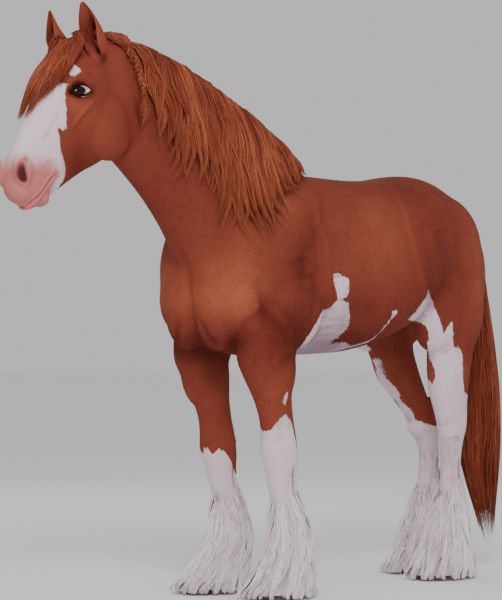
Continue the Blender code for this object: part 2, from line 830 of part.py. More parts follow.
def tail_locks(draw):
    """Locks that leave the dock one below the other and fall behind the hocks almost to the floor."""
    made = []
    by_height = sorted((z, x, depth, width) for x, z, depth, width in TAIL[3:])
    for i in range(TAIL_LOCKS):
        angle = 2 * math.pi * (i * 0.382) + 0.3
        start = (1.48, 1.30, 1.12, 0.90)[i % 4] + draw.uniform(-0.05, 0.05)
        end = (0.46, 0.10, 0.30, 0.15)[i % 4] + draw.uniform(0.0, 0.07)
        path = []
        outs = []
        stations = 7
        for k in range(stations):
            t = k / (stations - 1)
            z = mix(start, end, t)
            at = max(z, 0.42)
            x = along([(row[0], row[1]) for row in by_height], z)
            depth = along([(row[0], row[2]) for row in by_height], at) * mix(0.35, 1.0, ramp(z, 0.10, 0.42))
            width = along([(row[0], row[3]) for row in by_height], at) * mix(0.35, 1.0, ramp(z, 0.10, 0.42))
            spin = angle + 0.16 * math.sin(5 * t + i)
            drift = 0.030 * ramp(z, 0.42, 0.10)
            out = Vector((math.cos(spin), math.sin(spin), 0.05)).normalized()
            base = Vector((x + drift + depth * math.cos(spin), width * math.sin(spin), z))
            path.append(base + out * mix(-0.010, 0.013 + 0.010 * (i % 2), ramp(t, 0.0, 0.25)))
            outs.append(out)
        made.append(lock(f"tail_{i}", path, outs, draw.uniform(0.050, 0.062), 0.020, 0.5))
    return made


def hoof(leg, material):
    """A broad, round hoof with a flat sole."""
    foot = leg.foot()
    bm = bmesh.new()
    rings = [level_ring(foot.x + front, foot.x + back, foot.y, half, z, 16, 0.95) for z, front, back, half in HOOF]
    loft(bm, rings)
    return object_from(bm, "hoof_" + leg.name.replace("leg", ""), material)


def ear(side, material):
    """A leaf-shaped ear with a deep cup that opens forwards and outwards."""
    bm = bmesh.new()
    stations = 8
    arc = 6
    wall = 0.0075
    facing = Vector((-0.80, side * 0.60, 0)).normalized()
    rise = Vector((-0.52, 0.04 if side < 0 else 0.28, 1.0)).normalized()
    length = EAR_LENGTH if side < 0 else EAR_LENGTH * 0.92
    across = rise.cross(facing).normalized()
    facing = across.cross(rise).normalized()
    rings = []
    for i in range(stations):
        t = i / (stations - 1)
        half = 0.049 * math.sin(math.pi * (0.24 + 0.745 * t)) ** 0.85 * (1 - 0.12 * t) + 0.002
        depth = half * mix(1.0, 0.55, t)
        lean = facing * (0.018 * math.sin(math.pi * t) - 0.022 * t * t)
        centre = EAR_BASE.copy()
        centre.y *= side
        centre += rise * (length * t - 0.022) + lean
        thick = min(wall, half * 0.55) * mix(1.0, 0.6, t)
        cup = mix(0.25, 1.0, ramp(t, 0.02, 0.22))
        outer = []
        inner = []
        for k in range(arc):
            wrap = mix(2.1, 1.2, ramp(t, 0.0, 0.5))
            angle = mix(-wrap, wrap, k / (arc - 1))
            outer.append(centre + across * half * math.sin(angle) - facing * depth * math.cos(angle))
            inner_half = half - thick * 0.6
            hollow = -facing * (depth - thick) * math.cos(angle) * cup + facing * depth * 0.5 * (1 - cup)
            inner.append(centre + across * inner_half * math.sin(angle) * 0.97 + hollow + facing * 0.001)
        rings.append(outer + inner[::-1])
    loft(bm, rings)
    bmesh.ops.triangulate(bm, faces=bm.faces)
    return object_from(bm, "ear_left" if side < 0 else "ear_right", material)


def eye_axes(side):
    """The eye's place and its directions: outwards, along the slit and up across it."""
    centre = Vector((EYE.x, side * EYE.y, EYE.z))
    out = Vector((-0.30, side * 0.95, 0.08)).normalized()
    slit = Vector((-0.95, -side * 0.30, -0.12))
    slit = (slit - out * slit.dot(out)).normalized()
    high = out.cross(slit)
    if high.z < 0:
        high = -high
    return centre, out, slit, high


def eye(side, material):
    """An eyeball that its lids leave half bare."""
    centre, out, slit, high = eye_axes(side)
    bm = bmesh.new()
    bmesh.ops.create_icosphere(bm, subdivisions=2, radius=1.0)
    for vert in bm.verts:
        x, y, z = vert.co
        vert.co = centre + slit * x * EYE_LONG + high * y * EYE_HIGH + out * z * EYE_DEEP
    return object_from(bm, "eye_left" if side < 0 else "eye_right", material)


def tube(name, points, radius, sides=5):
    """A round bar along points, with closed ends."""
    bm = bmesh.new()
    rings = []
    last = len(points) - 1
    for i, point in enumerate(points):
        ahead = (points[min(i + 1, last)] - points[max(i - 1, 0)]).normalized()
        across = ahead.orthogonal().normalized() if i == 0 else (across - ahead * across.dot(ahead)).normalized()
        rise = ahead.cross(across)
        size = radius * (0.45 if i in (0, last) else 1.0)
        rings.append(
            [
                point + (across * math.cos(a) + rise * math.sin(a)) * size
                for a in (2 * math.pi * s / sides for s in range(sides))
            ]
        )
    loft(bm, rings)
    return object_from(bm, name)


def lids(side):
    """Upper and lower lid: a thick almond rim round the bare part of the eyeball."""
    centre, out, slit, high = eye_axes(side)
    made = []
    for arch, thick in ((0.0225, 0.0080), (-0.0205, 0.0074)):
        points = []
        for k in range(7):
            t = mix(-1.0, 1.0, k / 6)
            rise = arch * (1 - abs(t) ** 2.2)
            bare = 1 - (0.046 * t / EYE_LONG) ** 2 - (rise / EYE_HIGH) ** 2
            reach = EYE_DEEP * math.sqrt(max(bare, 0.0)) + 0.0010
            points.append(centre + slit * 0.046 * t + high * rise + out * reach)
        made.append(tube("lid", points, thick))
    return made


def carve_face(head):
    """Cuts the nostrils and the line of the mouth into the muzzle."""
    cutters = []
    for side in (-1, 1):
        bm = bmesh.new()
        oval(bm, (-1.348, side * 0.066, 1.738), (0.019, 0.021, 0.041), pitch=-0.12, segments=12)
        cutters.append(object_from(bm, "nostril"))
    mouth = [(-1.152, 1.742), (-1.182, 1.714), (-1.210, 1.682), (-1.240, 1.650), (-1.268, 1.626)]
    skin = Skin(head)
    line = []
    for x, z in mouth:
        point, _ = skin.from_side(x, z, -1)
        line.append(point)
    front, _ = skin.nearest(Vector((-1.300, 0, 1.590)))
    whole = line + [front] + [Vector((p.x, -p.y, p.z)) for p in reversed(line)]
    cutters.append(tube("mouth", whole, 0.0052))
    for cutter in cutters:
        boolean(head, "DIFFERENCE", cutter)
    remove(*cutters)
    return keep_largest(head)


def body_skin(legs):
    bm = bmesh.new()
    median_loft(bm, TRUNK)
    median_loft(bm, NECK)
    trunk_masses(bm)
    for leg in legs:
        loft(bm, leg.rings())
        leg_masses(bm, leg)
    return melted(bm, "body", BODY_VOXEL, BODY_MELT, BODY_FACES)


def head_skin():
    """The head with the front of the neck, so that both skins agree where they are parted."""
    bm = bmesh.new()
    median_loft(bm, HEAD)
    median_loft(bm, NECK[:5])
    head_masses(bm)
    return melted(bm, "head_mass", HEAD_VOXEL, HEAD_MELT, int(HEAD_FACES * 1.55))


def part_body(body, legs):
    """Parts the one skin into torso, neck and the upper and lower half of each leg."""
    pieces = {}
    wide = 1.5
    block = prism("block", neck_outline(0.0), "Y", -wide, wide)
    grown = prism("grown", neck_outline(GAP * 1.2), "Y", -wide, wide)
    pieces["neck"] = cut_out(body, "neck", block, grown)
    for leg in legs:
        fore = leg.slices is FORELEG
        inner_z, slope = (0.950, 0.50) if fore else (1.025, 0.50)
        x_low, x_high = (-0.45, 0.42) if fore else (0.80, 1.80)
        block = prism("block", leg_outline(leg.side, 0.0, inner_z, slope), "X", x_low, x_high)
        grown = prism("grown", leg_outline(leg.side, GAP * 1.2, inner_z, slope), "X", x_low, x_high)
        whole = cut_out(body, leg.name + "_upper", block, grown)
        cut_z = KNEE_CUT_Z if fore else HOCK_CUT_Z
        block = prism("block", below_outline(cut_z, 0.0), "Y", -wide, wide)
        grown = prism("grown", below_outline(cut_z, GAP), "Y", -wide, wide)
        lower = cut_out(whole, leg.name + "_lower", block, grown)
        sole = prism("block", below_outline(CORONET_Z, 0.0), "Y", -wide, wide)
        boolean(lower, "DIFFERENCE", sole)
        remove(sole)
        pieces[leg.name + "_upper"] = keep_largest(whole)
        pieces[leg.name + "_lower"] = keep_largest(lower)
    body.name = "torso"
    pieces["torso"] = keep_largest(body)
    return pieces


def dress(obj, material, smooth_angle=0.7):
    obj.data.materials.clear()
    obj.data.materials.append(material)
    obj.data.shade_smooth()
    obj.data.set_sharp_from_angle(angle=smooth_angle)


def recentre():
    """Moves the origin to the middle of the floor under the horse's outline."""
    points = [vert.co for obj in bpy.context.scene.objects for vert in obj.data.vertices]
    middle = [(min(p[k] for p in points) + max(p[k] for p in points)) / 2 for k in (0, 1)]
    for obj in bpy.context.scene.objects:
        obj.data.transform(Matrix.Translation((-middle[0], -middle[1], 0)))


def main():
    clear_scene()
    draw = random.Random(17)
    chestnut = finish("chestnut_coat", CHESTNUT, 0.5)
    mane_hair = finish("mane_hair", FLAXEN_CHESTNUT, 0.55)
    white = finish("white_feather", WHITE, 0.6)
    horn = finish("hoof_horn", HORN, 0.45)
    eye_brown = finish("eye", EYE_BROWN, 0.08)

    legs = four_legs()
    body = body_skin(legs)
    head = head_skin()
    whole = Skin(body, head)
    hooves = [hoof(leg, horn) for leg in legs]

    for obj, outline in ((body, head_outline(GAP * 1.2)),):
        block = prism("block", outline, "Y", -1.5, 1.5)
        boolean(obj, "DIFFERENCE", block)
        remove(block)
    block = prism("block", head_outline(0.0), "Y", -1.5, 1.5)
    boolean(head, "INTERSECT", block)
    remove(block)
    head.name = "head"
    pieces = part_body(body, legs)

    eyes = [eye(side, eye_brown) for side in (-1, 1)]
    ears = [ear(side, chestnut) for side in (-1, 1)]
    fuse(head, lids(-1) + lids(1) + forelock(whole, draw))
    carve_face(head)
    for piece in eyes + ears:
        seat(head, piece)

    fuse(pieces["neck"], mane(whole, draw) + plait(whole))
    for leg in legs:
        lower = pieces[leg.name + "_lower"]
        fuse(lower, feather(leg, draw))
    tail = fuse(tail_core(), tail_locks(draw))
    seat(pieces["torso"], tail)

    for name, piece in pieces.items():
        dress(piece, white if name.endswith("_lower") else chestnut)
    dress(head, chestnut)
    dress(tail, mane_hair)
    for piece in ears:
        dress(piece, chestnut)
    recentre()


main()
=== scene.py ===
import math

import bmesh
import bpy
import numpy as np
from mathutils import Matrix, Vector
from mathutils.bvhtree import BVHTree


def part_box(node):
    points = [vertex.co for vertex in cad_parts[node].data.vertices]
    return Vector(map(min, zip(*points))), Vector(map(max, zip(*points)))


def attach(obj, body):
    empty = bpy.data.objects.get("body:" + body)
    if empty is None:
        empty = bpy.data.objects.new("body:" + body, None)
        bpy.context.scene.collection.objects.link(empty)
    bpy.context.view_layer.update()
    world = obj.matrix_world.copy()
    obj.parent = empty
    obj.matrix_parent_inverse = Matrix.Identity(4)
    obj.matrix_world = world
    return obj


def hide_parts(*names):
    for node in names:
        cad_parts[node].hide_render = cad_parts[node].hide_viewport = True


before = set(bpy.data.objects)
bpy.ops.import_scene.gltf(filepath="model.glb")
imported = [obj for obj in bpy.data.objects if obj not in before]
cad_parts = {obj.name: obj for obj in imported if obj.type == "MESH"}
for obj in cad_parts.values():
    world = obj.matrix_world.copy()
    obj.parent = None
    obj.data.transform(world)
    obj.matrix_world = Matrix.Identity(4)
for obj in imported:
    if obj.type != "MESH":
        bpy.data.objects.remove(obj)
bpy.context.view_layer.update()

# Forms are drawn from the floor midway between the fore feet, as the solids were, and slid along X
# into the frame at the end. The near eye tells how far.
eyeSpot = Vector((-1.0470, 0.0810, 2.0725))
eyeLow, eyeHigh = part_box("eye_left")
shiftX = (eyeLow.x + eyeHigh.x) / 2 - eyeSpot.x
print("frame loaded, shift", round(shiftX, 4))


def mixed(a, b, t):
    return a + (b - a) * t


def eased(t, low, high):
    t = np.clip((t - low) / (high - low), 0.0, 1.0)
    return t * t * (3 - 2 * t)


def unit(v):
    return v / np.maximum(np.linalg.norm(v, axis=-1, keepdims=True), 1e-9)


def readAt(table, x, column=1):
    rows = sorted(table)
    return np.interp(x, [row[0] for row in rows], [row[column] for row in rows])


def spread(stations, steps=8):
    # a smooth curve through stations of numbers
    rows = np.array(stations, float)
    last = len(rows) - 1
    filled = []
    for i in range(last):
        p, q, r, s = rows[max(i - 1, 0)], rows[i], rows[i + 1], rows[min(i + 2, last)]
        for k in range(steps):
            t = k / steps
            bend = 2 * p - 5 * q + 4 * r - s + t * (3 * (q - r) + s - p)
            filled.append(q + 0.5 * t * (r - p + t * bend))
    filled.append(rows[last])
    return np.array(filled)


# Finishes: a wire is a socket that can be added, multiplied and so on.

class Wire:
    def __init__(self, finish, socket):
        self.finish = finish
        self.socket = socket

    def maths(self, operation, *parts):
        return self.finish.add("ShaderNodeMath", {"operation": operation}, dict(enumerate(parts)))

    def __add__(self, other):
        return self.maths("ADD", self, other)

    __radd__ = __add__

    def __sub__(self, other):
        return self.maths("SUBTRACT", self, other)

    def __rsub__(self, other):
        return self.maths("SUBTRACT", other, self)

    def __mul__(self, other):
        return self.maths("MULTIPLY", self, other)

    __rmul__ = __mul__

    def __pow__(self, other):
        return self.maths("POWER", self, other)

    def most(self, other):
        return self.maths("MAXIMUM", self, other)

    def between(self, low, high, start=0.0, end=1.0):
        ranges = {"From Min": low, "From Max": high, "To Min": start, "To Max": end}
        settings = {"interpolation_type": "SMOOTHSTEP"}
        return self.finish.add("ShaderNodeMapRange", settings, {"Value": self, **ranges})


class Finish:
    def __init__(self, name, **fixed):
        self.material = bpy.data.materials.new(name)
        self.material.use_nodes = True
        self.tree = self.material.node_tree
        self.shader = self.tree.nodes["Principled BSDF"]
        for key, value in fixed.items():
            self.shader.inputs[key.replace("_", " ")].default_value = value

    def add(self, kind, settings=None, sockets=None, out=0):
        made = self.tree.nodes.new(kind)
        for key, value in (settings or {}).items():
            setattr(made, key, value)
        for key, value in (sockets or {}).items():
            self.join(value, made.inputs[key])
        return Wire(self, made.outputs[out])

    def join(self, value, socket):
        if isinstance(value, Wire):
            self.tree.links.new(value.socket, socket)
        else:
            socket.default_value = value

    def wear(self, **sockets):
        for key, value in sockets.items():
            self.join(value, self.shader.inputs[key.replace("_", " ")])

    def place(self):
        return self.add("ShaderNodeTexCoord", out="Object")

    def read(self, name):
        return self.add("ShaderNodeAttribute", {"attribute_name": name}, out="Fac")

    def readThree(self, name):
        vector = self.add("ShaderNodeAttribute", {"attribute_name": name}, out="Vector")
        parts = self.add("ShaderNodeSeparateXYZ", sockets={0: vector})
        return [Wire(self, parts.socket.node.outputs[k]) for k in range(3)]

    def noise(self, vector, scale, detail=2.0, rough=0.5):
        return self.add(
            "ShaderNodeTexNoise",
            sockets={"Vector": vector, "Scale": scale, "Detail": detail, "Roughness": rough},
        )

    def stretched(self, vector, turn, scale):
        # turn tips the pattern about Y, and scale is along it, across it and through it
        return self.add(
            "ShaderNodeMapping",
            {"vector_type": "TEXTURE"},
            {"Vector": vector, "Rotation": (0, turn, 0), "Scale": tuple(1 / s for s in scale)},
        )

    def tint(self, factor, a, b):
        return self.add("ShaderNodeMix", {"data_type": "RGBA"}, {0: factor, 6: a, 7: b}, out=2)

    def bump(self, height, strength, distance):
        sockets = {"Height": height, "Strength": strength, "Distance": distance}
        return self.add("ShaderNodeBump", sockets=sockets)


def paint(red, green, blue):
    # a colour as it looks on screen, 0 to 255, in the shader's own values
    parts = [c / 255 for c in (red, green, blue)]
    return (*(c / 12.92 if c < 0.04045 else ((c + 0.055) / 1.055) ** 2.4 for c in parts), 1.0)


# Coat colours. The lit and deep colours are painted light and painted shade on the chestnut, also mixed in
# by random patches, mottle and grain. The lilac colour is painted shade on the white, also mixed in by grain
# and mottle. The dark colour is painted shade inside the nostrils, along the mouth's crease and deep in the
# ears' cups, and it also darkens the skin round the eyes' lids.
coatColours = {
    "chestnut": paint(127, 58, 45),
    "lit": paint(161, 86, 60),
    "deep": paint(92, 36, 29),
    "white": paint(219, 198, 205),
    "lilac": paint(152, 127, 136),
    "pink": paint(190, 112, 108),
    "dark": paint(46, 10, 6),
}
# Scales of the patterns, how far the white's edge wanders and the bump's height, then the grain's tilt.
coatDetail = {"patches": 2.4, "mottle": 14.0, "grain": 210.0, "edge": 0.006, "bump": 0.0016}
grainTilts = {"trunk": 0.20, "neck": 0.95, "leg": 1.50, "head": 2.10}


def coatFinish():
    c = coatColours
    f = Finish("chestnutCoat", Specular_IOR_Level=0.05)
    place = f.place()
    white, pink, dark = f.readThree("mark")
    hollowShade, head, leg = f.readThree("form")
    neck, litOrShaded, _ = f.readThree("zone")
    broad = f.noise(place, coatDetail["patches"], 3.0)
    mottle = f.noise(place, coatDetail["mottle"], 3.0, 0.6)

    def lay(part, along=0.10, across=1.0):
        scale = [coatDetail["grain"] * share for share in (along, across, across)]
        return f.noise(f.stretched(place, grainTilts[part], scale), 1.0, 2.0)

    trunk = 1 - head.most(leg).most(neck)
    grain = lay("trunk") * trunk + lay("neck") * neck + lay("leg") * leg + lay("head", 0.2, 1.6) * head
    # painted light and painted shade from the painted patches and the hollows, with random patches, mottle
    # and grain
    shade = litOrShaded * 0.55 + (broad - 0.5) * 0.5 + (mottle - 0.5) * 0.22 + (grain - 0.5) * 0.3 - hollowShade * 0.16
    colour = f.tint(shade.between(-0.55, 0.05), c["deep"], c["chestnut"])
    colour = f.tint(shade.between(-0.05, 0.60), colour, c["lit"])
    # painted shade on the white coat, in hollows and where the coat is painted darker, as under the belly,
    # with grain and mottle
    shadow = hollowShade - litOrShaded * 0.7 + (grain - 0.5) * 0.6 + (mottle - 0.5) * 0.4
    pale = f.tint(shadow.between(-0.15, 0.7), c["white"], c["lilac"])
    pale = f.tint((pink + (mottle - 0.5) * 0.5 * pink).between(0.1, 0.9), pale, c["pink"])
    edge = coatDetail["edge"]
    jag = (f.noise(f.stretched(place, 1.2, (30, 110, 110)), 1.0, 2.0) - 0.5) * (3.2 * edge)
    isWhite = (white + jag).between(-edge * 0.35, edge * 0.5)
    colour = f.tint(isWhite, colour, pale)
    colour = f.tint(dark, colour, c["dark"])
    f.wear(
        Base_Color=colour,
        Roughness=0.74 + (mottle - 0.5) * 0.16 + isWhite * 0.04 - dark * 0.16,
        Normal=f.bump(grain + mottle * 0.6, 0.42, coatDetail["bump"]),
    )
    return f.material


# For each kind of hair: its dark colour, which also stands for painted shade, its middle and light colours,
# and how rough it is.
hairColours = {
    "maneHair": (paint(72, 25, 18), paint(138, 62, 41), paint(176, 96, 64), 0.5),
    "featherHair": (paint(172, 152, 162), paint(236, 221, 227), paint(250, 240, 243), 0.55),
    "lashHair": (paint(30, 16, 12), paint(60, 30, 22), paint(90, 44, 30), 0.5),
}


def hairFinish(name):
    f = Finish(name, Specular_IOR_Level=0.16)
    dark, middle, light, rough = hairColours[name]
    tone = f.read("tone")
    along = f.read("along")
    mottle = f.noise(f.place(), 9.0, 2.0)
    # darker towards the roots: painted shade where hair lies under hair; tone and mottle vary at random
    shade = tone + (mottle - 0.5) * 0.5 + (along - 0.35) * 0.25
    colour = f.tint(shade.between(0.0, 0.5), dark, middle)
    colour = f.tint(shade.between(0.5, 1.05), colour, light)
    f.wear(Base_Color=colour, Roughness=rough + (tone - 0.5) * 0.12)
    return f.material


hornColours = {"brown": paint(96, 66, 48), "pale": paint(166, 128, 98), "ring": paint(74, 50, 38)}


def hornFinish():
    c = hornColours
    f = Finish("hoofHorn", Specular_IOR_Level=0.45)
    place = f.place()
    rings = f.noise(f.stretched(place, 0.0, (9, 9, 240)), 1.0, 2.0)
    streak = f.noise(f.stretched(place, 0.0, (90, 90, 8)), 1.0, 2.0)
    colour = f.tint(streak.between(0.3, 0.7), c["brown"], c["pale"])
    colour = f.tint(rings.between(0.45, 0.75), colour, c["ring"])
    relief = f.bump(rings + streak * 0.3, 0.5, 0.0015)
    f.wear(Base_Color=colour, Roughness=0.42 + rings * 0.2, Normal=relief)
    return f.material


irisSizes = {"ahead": 0.27, "radius": 0.52, "squash": 0.72, "pupilSquash": 0.9}
eyeColours = {
    "pupil": paint(8, 5, 4),
    "iris": paint(12, 6, 4),
    "rays": paint(30, 13, 8),
    "rim": paint(24, 12, 9),
    "white": paint(214, 186, 184),
    "veins": paint(188, 140, 134),
}


def eyeFinish():
    # gaze holds the place on the eyeball along the slit, up it and outwards, in half sizes
    c = eyeColours
    s = irisSizes
    f = Finish("wetEye", Roughness=0.06, Specular_IOR_Level=0.26)
    ahead, high, _ = f.readThree("gaze")
    fromIris = ((ahead - s["ahead"]) ** 2 + (high * s["squash"]) ** 2) ** 0.5
    fromPupil = ((ahead - s["ahead"]) ** 2 + (high * s["pupilSquash"]) ** 2) ** 0.5
    rays = f.noise(f.place(), 320.0, 2.0)
    iris = f.tint((rays + fromIris).between(0.5, 1.0), c["iris"], c["rays"])
    veins = f.noise(f.place(), 130.0, 3.0)
    white = f.tint(veins.between(0.45, 0.7), c["white"], c["veins"])
    reach = s["radius"]
    behind = (s["ahead"] - ahead).between(0.12, 0.38)  # the white shows only at the rear corner
    colour = f.tint(fromIris.between(reach - 0.05, reach + 0.03) * behind, iris, white)
    rim = fromIris.between(reach - 0.10, reach - 0.02) * (1 - fromIris.between(reach, reach + 0.06))
    colour = f.tint(rim * 0.8, colour, c["rim"])
    colour = f.tint(1 - fromPupil.between(reach * 0.55, reach * 0.62), colour, c["pupil"])
    f.wear(Base_Color=colour)
    return f.material


chestnutCoat = coatFinish()
maneHair = hairFinish("maneHair")
featherHair = hairFinish("featherHair")
lashHair = hairFinish("lashHair")
hoofHorn = hornFinish()
wetEye = eyeFinish()
print("finishes made")


# Plain forms, as in the solids.

def reworked(mesh, change):
    # makes one change to a mesh in its editable form
    bm = bmesh.new()
    bm.from_mesh(mesh)
    change(bm)
    bm.to_mesh(mesh)
    bm.free()
    return mesh


def facedOut(bm):
    bm.normal_update()
    bmesh.ops.recalc_face_normals(bm, faces=bm.faces)


class Heap:
    # closed shells of plain rings, gathered before they become a mesh
    def __init__(self):
        self.points = []
        self.faces = []

    def rings(self, rings):
        first = len(self.points)
        count = len(rings[0])
        for ring in rings:
            self.points.extend(tuple(point) for point in ring)
        for i in range(len(rings) - 1):
            for k in range(count):
                a = first + i * count + k
                b = first + i * count + (k + 1) % count
                self.faces.append((a, b, b + count, a + count))
        self.faces.append(tuple(range(first + count - 1, first - 1, -1)))
        end = first + (len(rings) - 1) * count
        self.faces.append(tuple(range(end, end + count)))

    def egg(self, x, y, z, radii, pitch=0.0, yaw=0.0, steps=32):
        turn = np.array((Matrix.Rotation(yaw, 3, "Z") @ Matrix.Rotation(pitch, 3, "Y")))
        around = np.linspace(0, 2 * math.pi, steps, endpoint=False)
        rings = []
        for tilt in np.linspace(0.04, math.pi - 0.04, steps // 2 + 1):
            wide = np.cos(around) * math.sin(tilt) * radii[0]
            deep = np.sin(around) * math.sin(tilt) * radii[1]
            ring = np.stack([wide, deep, np.full(steps, math.cos(tilt) * radii[2])], axis=1)
            rings.append(ring @ turn.T + (x, y, z))
        self.rings(rings)

    def swell(self, x, y, z, radii, pitch=0.0, yaw=0.0):
        # an egg on each side, or one where it sits in the middle
        self.egg(x, y, z, radii, pitch, yaw)
        if y:
            self.egg(x, -y, z, radii, pitch, -yaw)

    def mesh(self, name):
        def build(bm):
            verts = [bm.verts.new(point) for point in self.points]
            for face in self.faces:
                bm.faces.new([verts[k] for k in face])
            facedOut(bm)

        return reworked(bpy.data.meshes.new(name), build)


def linked(name, mesh):
    obj = bpy.data.objects.new(name, mesh)
    bpy.context.scene.collection.objects.link(obj)
    return obj


def baked(obj):
    # turns what the modifiers show into the object's own plain mesh
    graph = bpy.context.evaluated_depsgraph_get()
    graph.update()
    mesh = bpy.data.meshes.new_from_object(obj.evaluated_get(graph), depsgraph=graph)
    obj.modifiers.clear()
    obj.data = mesh
    return obj


def settled(obj, slot, *nodes):
    # slides a finished piece into the frame, hangs it under the root and hides the solids that it replaces
    obj.data.transform(Matrix.Translation((shiftX, 0, 0)))
    obj.data.update()
    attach(obj, "root")
    if nodes:
        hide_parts(*nodes)
    print(obj.name, len(obj.data.polygons), "faces")
    return obj


def ringAcross(topX, topZ, lowX, lowZ, halfWidth, widest, upper, lower, count=48):
    angle = np.linspace(0, 2 * math.pi, count, endpoint=False)
    rise = np.sin(angle)[:, None]
    across = np.cos(angle)
    side = np.sign(across) * np.abs(across) ** np.where(rise[:, 0] > 0, upper, lower)
    top = np.array((topX, 0, topZ))
    low = np.array((lowX, 0, lowZ))
    middle = mixed(low, top, widest)
    ring = middle + (np.where(rise > 0, top, low) - middle) * np.abs(rise)
    ring[:, 1] += halfWidth * side
    return ring


def levelRing(front, back, y, halfWidth, z, count=40, square=0.92):
    angle = np.linspace(0, 2 * math.pi, count, endpoint=False)

    def squared(v):
        return np.sign(v) * np.abs(v) ** square

    x = (front + back) / 2 + (back - front) / 2 * squared(np.cos(angle))
    return np.stack([x, y + halfWidth * squared(np.sin(angle)), np.full(count, z)], axis=1)


# Top x and z, low x and z, half width, height of the greatest width, powers of the two halves.
trunkRings = [
    (-0.335, 1.420, -0.335, 1.255, 0.100, 0.5, 1.0, 1.0),
    (-0.300, 1.560, -0.305, 1.145, 0.195, 0.5, 0.9, 1.0),
    (-0.225, 1.680, -0.225, 1.075, 0.258, 0.52, 0.9, 1.0),
    (-0.080, 1.745, -0.080, 1.025, 0.272, 0.48, 0.95, 1.0),
    (0.120, 1.792, 0.120, 1.013, 0.280, 0.46, 1.0, 1.0),
    (0.340, 1.803, 0.340, 1.018, 0.315, 0.46, 0.98, 0.95),
    (0.600, 1.793, 0.600, 1.031, 0.358, 0.46, 0.85, 0.9),
    (0.820, 1.801, 0.820, 1.083, 0.366, 0.46, 0.82, 0.9),
    (1.020, 1.829, 1.020, 1.150, 0.335, 0.48, 0.82, 0.95),
    (1.160, 1.810, 1.170, 1.195, 0.295, 0.5, 0.85, 1.0),
    (1.280, 1.758, 1.300, 1.215, 0.240, 0.55, 0.9, 1.0),
    (1.365, 1.682, 1.400, 1.245, 0.180, 0.55, 1.0, 1.0),
    (1.430, 1.600, 1.450, 1.305, 0.110, 0.5, 1.0, 1.0),
]
neckRings = [
    (-0.930, 2.285, -0.880, 1.965, 0.080, 0.55, 1.0, 1.0),
    (-0.790, 2.320, -0.800, 1.842, 0.104, 0.50, 1.15, 1.0),
    (-0.640, 2.298, -0.698, 1.758, 0.114, 0.46, 1.25, 1.0),
    (-0.450, 2.250, -0.600, 1.676, 0.126, 0.44, 1.3, 1.0),
    (-0.250, 2.172, -0.502, 1.586, 0.146, 0.43, 1.3, 0.95),
    (-0.040, 2.065, -0.412, 1.488, 0.176, 0.42, 1.3, 0.95),
    (0.160, 1.932, -0.340, 1.380, 0.208, 0.42, 1.25, 0.95),
    (0.330, 1.806, -0.270, 1.240, 0.222, 0.42, 1.2, 0.95),
]
headRings = [
    (-0.860, 2.290, -0.790, 2.065, 0.060, 0.60, 1.0, 1.0),
    (-0.950, 2.288, -0.760, 1.965, 0.080, 0.60, 1.0, 1.0),
    (-1.040, 2.235, -0.785, 1.855, 0.094, 0.66, 0.9, 1.05),
    (-1.122, 2.155, -0.865, 1.800, 0.098, 0.70, 0.82, 1.15),
    (-1.185, 2.070, -0.955, 1.760, 0.085, 0.70, 0.80, 1.1),
    (-1.240, 1.988, -1.030, 1.720, 0.074, 0.66, 0.80, 1.0),
    (-1.288, 1.910, -1.090, 1.685, 0.066, 0.60, 0.80, 0.95),
    (-1.328, 1.840, -1.135, 1.660, 0.063, 0.55, 0.85, 0.95),
    (-1.354, 1.778, -1.180, 1.643, 0.065, 0.52, 0.9, 0.95),
    (-1.360, 1.728, -1.225, 1.632, 0.062, 0.50, 0.95, 1.0),
    (-1.346, 1.682, -1.262, 1.632, 0.042, 0.50, 1.0, 1.0),
]

# Slices through the legs: height, front, back and half width.
foreSlices = [
    (1.225, -0.160, 0.130, 0.090),
    (1.105, -0.200, 0.115, 0.106),
    (1.005, -0.200, 0.072, 0.099),
    (0.920, -0.162, 0.080, 0.082),
    (0.835, -0.108, 0.076, 0.071),
    (0.750, -0.075, 0.087, 0.065),
    (0.690, -0.066, 0.098, 0.070),
    (0.640, -0.062, 0.102, 0.075),
    (0.585, -0.054, 0.106, 0.072),
    (0.530, -0.040, 0.104, 0.063),
    (0.470, -0.026, 0.109, 0.057),
    (0.400, -0.006, 0.119, 0.055),
    (0.330, 0.008, 0.134, 0.056),
    (0.280, 0.012, 0.142, 0.061),
    (0.235, 0.002, 0.146, 0.063),
    (0.180, -0.026, 0.132, 0.066),
    (0.130, -0.060, 0.115, 0.078),
    (0.100, -0.080, 0.110, 0.086),
]
hindSlices = [
    (1.365, -0.230, 0.110, 0.110),
    (1.225, -0.240, 0.135, 0.120),
    (1.115, -0.205, 0.110, 0.100),
    (1.045, -0.192, 0.080, 0.085),
    (0.945, -0.188, 0.070, 0.076),
    (0.850, -0.164, 0.068, 0.068),
    (0.785, -0.134, 0.074, 0.060),
    (0.730, -0.106, 0.082, 0.056),
    (0.685, -0.086, 0.082, 0.055),
    (0.625, -0.068, 0.066, 0.050),
    (0.560, -0.056, 0.056, 0.045),
    (0.470, -0.056, 0.056, 0.044),
    (0.390, -0.064, 0.060, 0.047),
    (0.310, -0.074, 0.062, 0.055),
    (0.250, -0.090, 0.054, 0.058),
    (0.190, -0.114, 0.040, 0.062),
    (0.140, -0.140, 0.030, 0.074),
    (0.100, -0.160, 0.030, 0.086),
]
hoofSlices = [(0.0, -0.136, 0.098, 0.099), (0.030, -0.119, 0.096, 0.096), (0.070, -0.095, 0.090, 0.087)]
coronet = (0.1, -0.077, 0.083, 0.077)
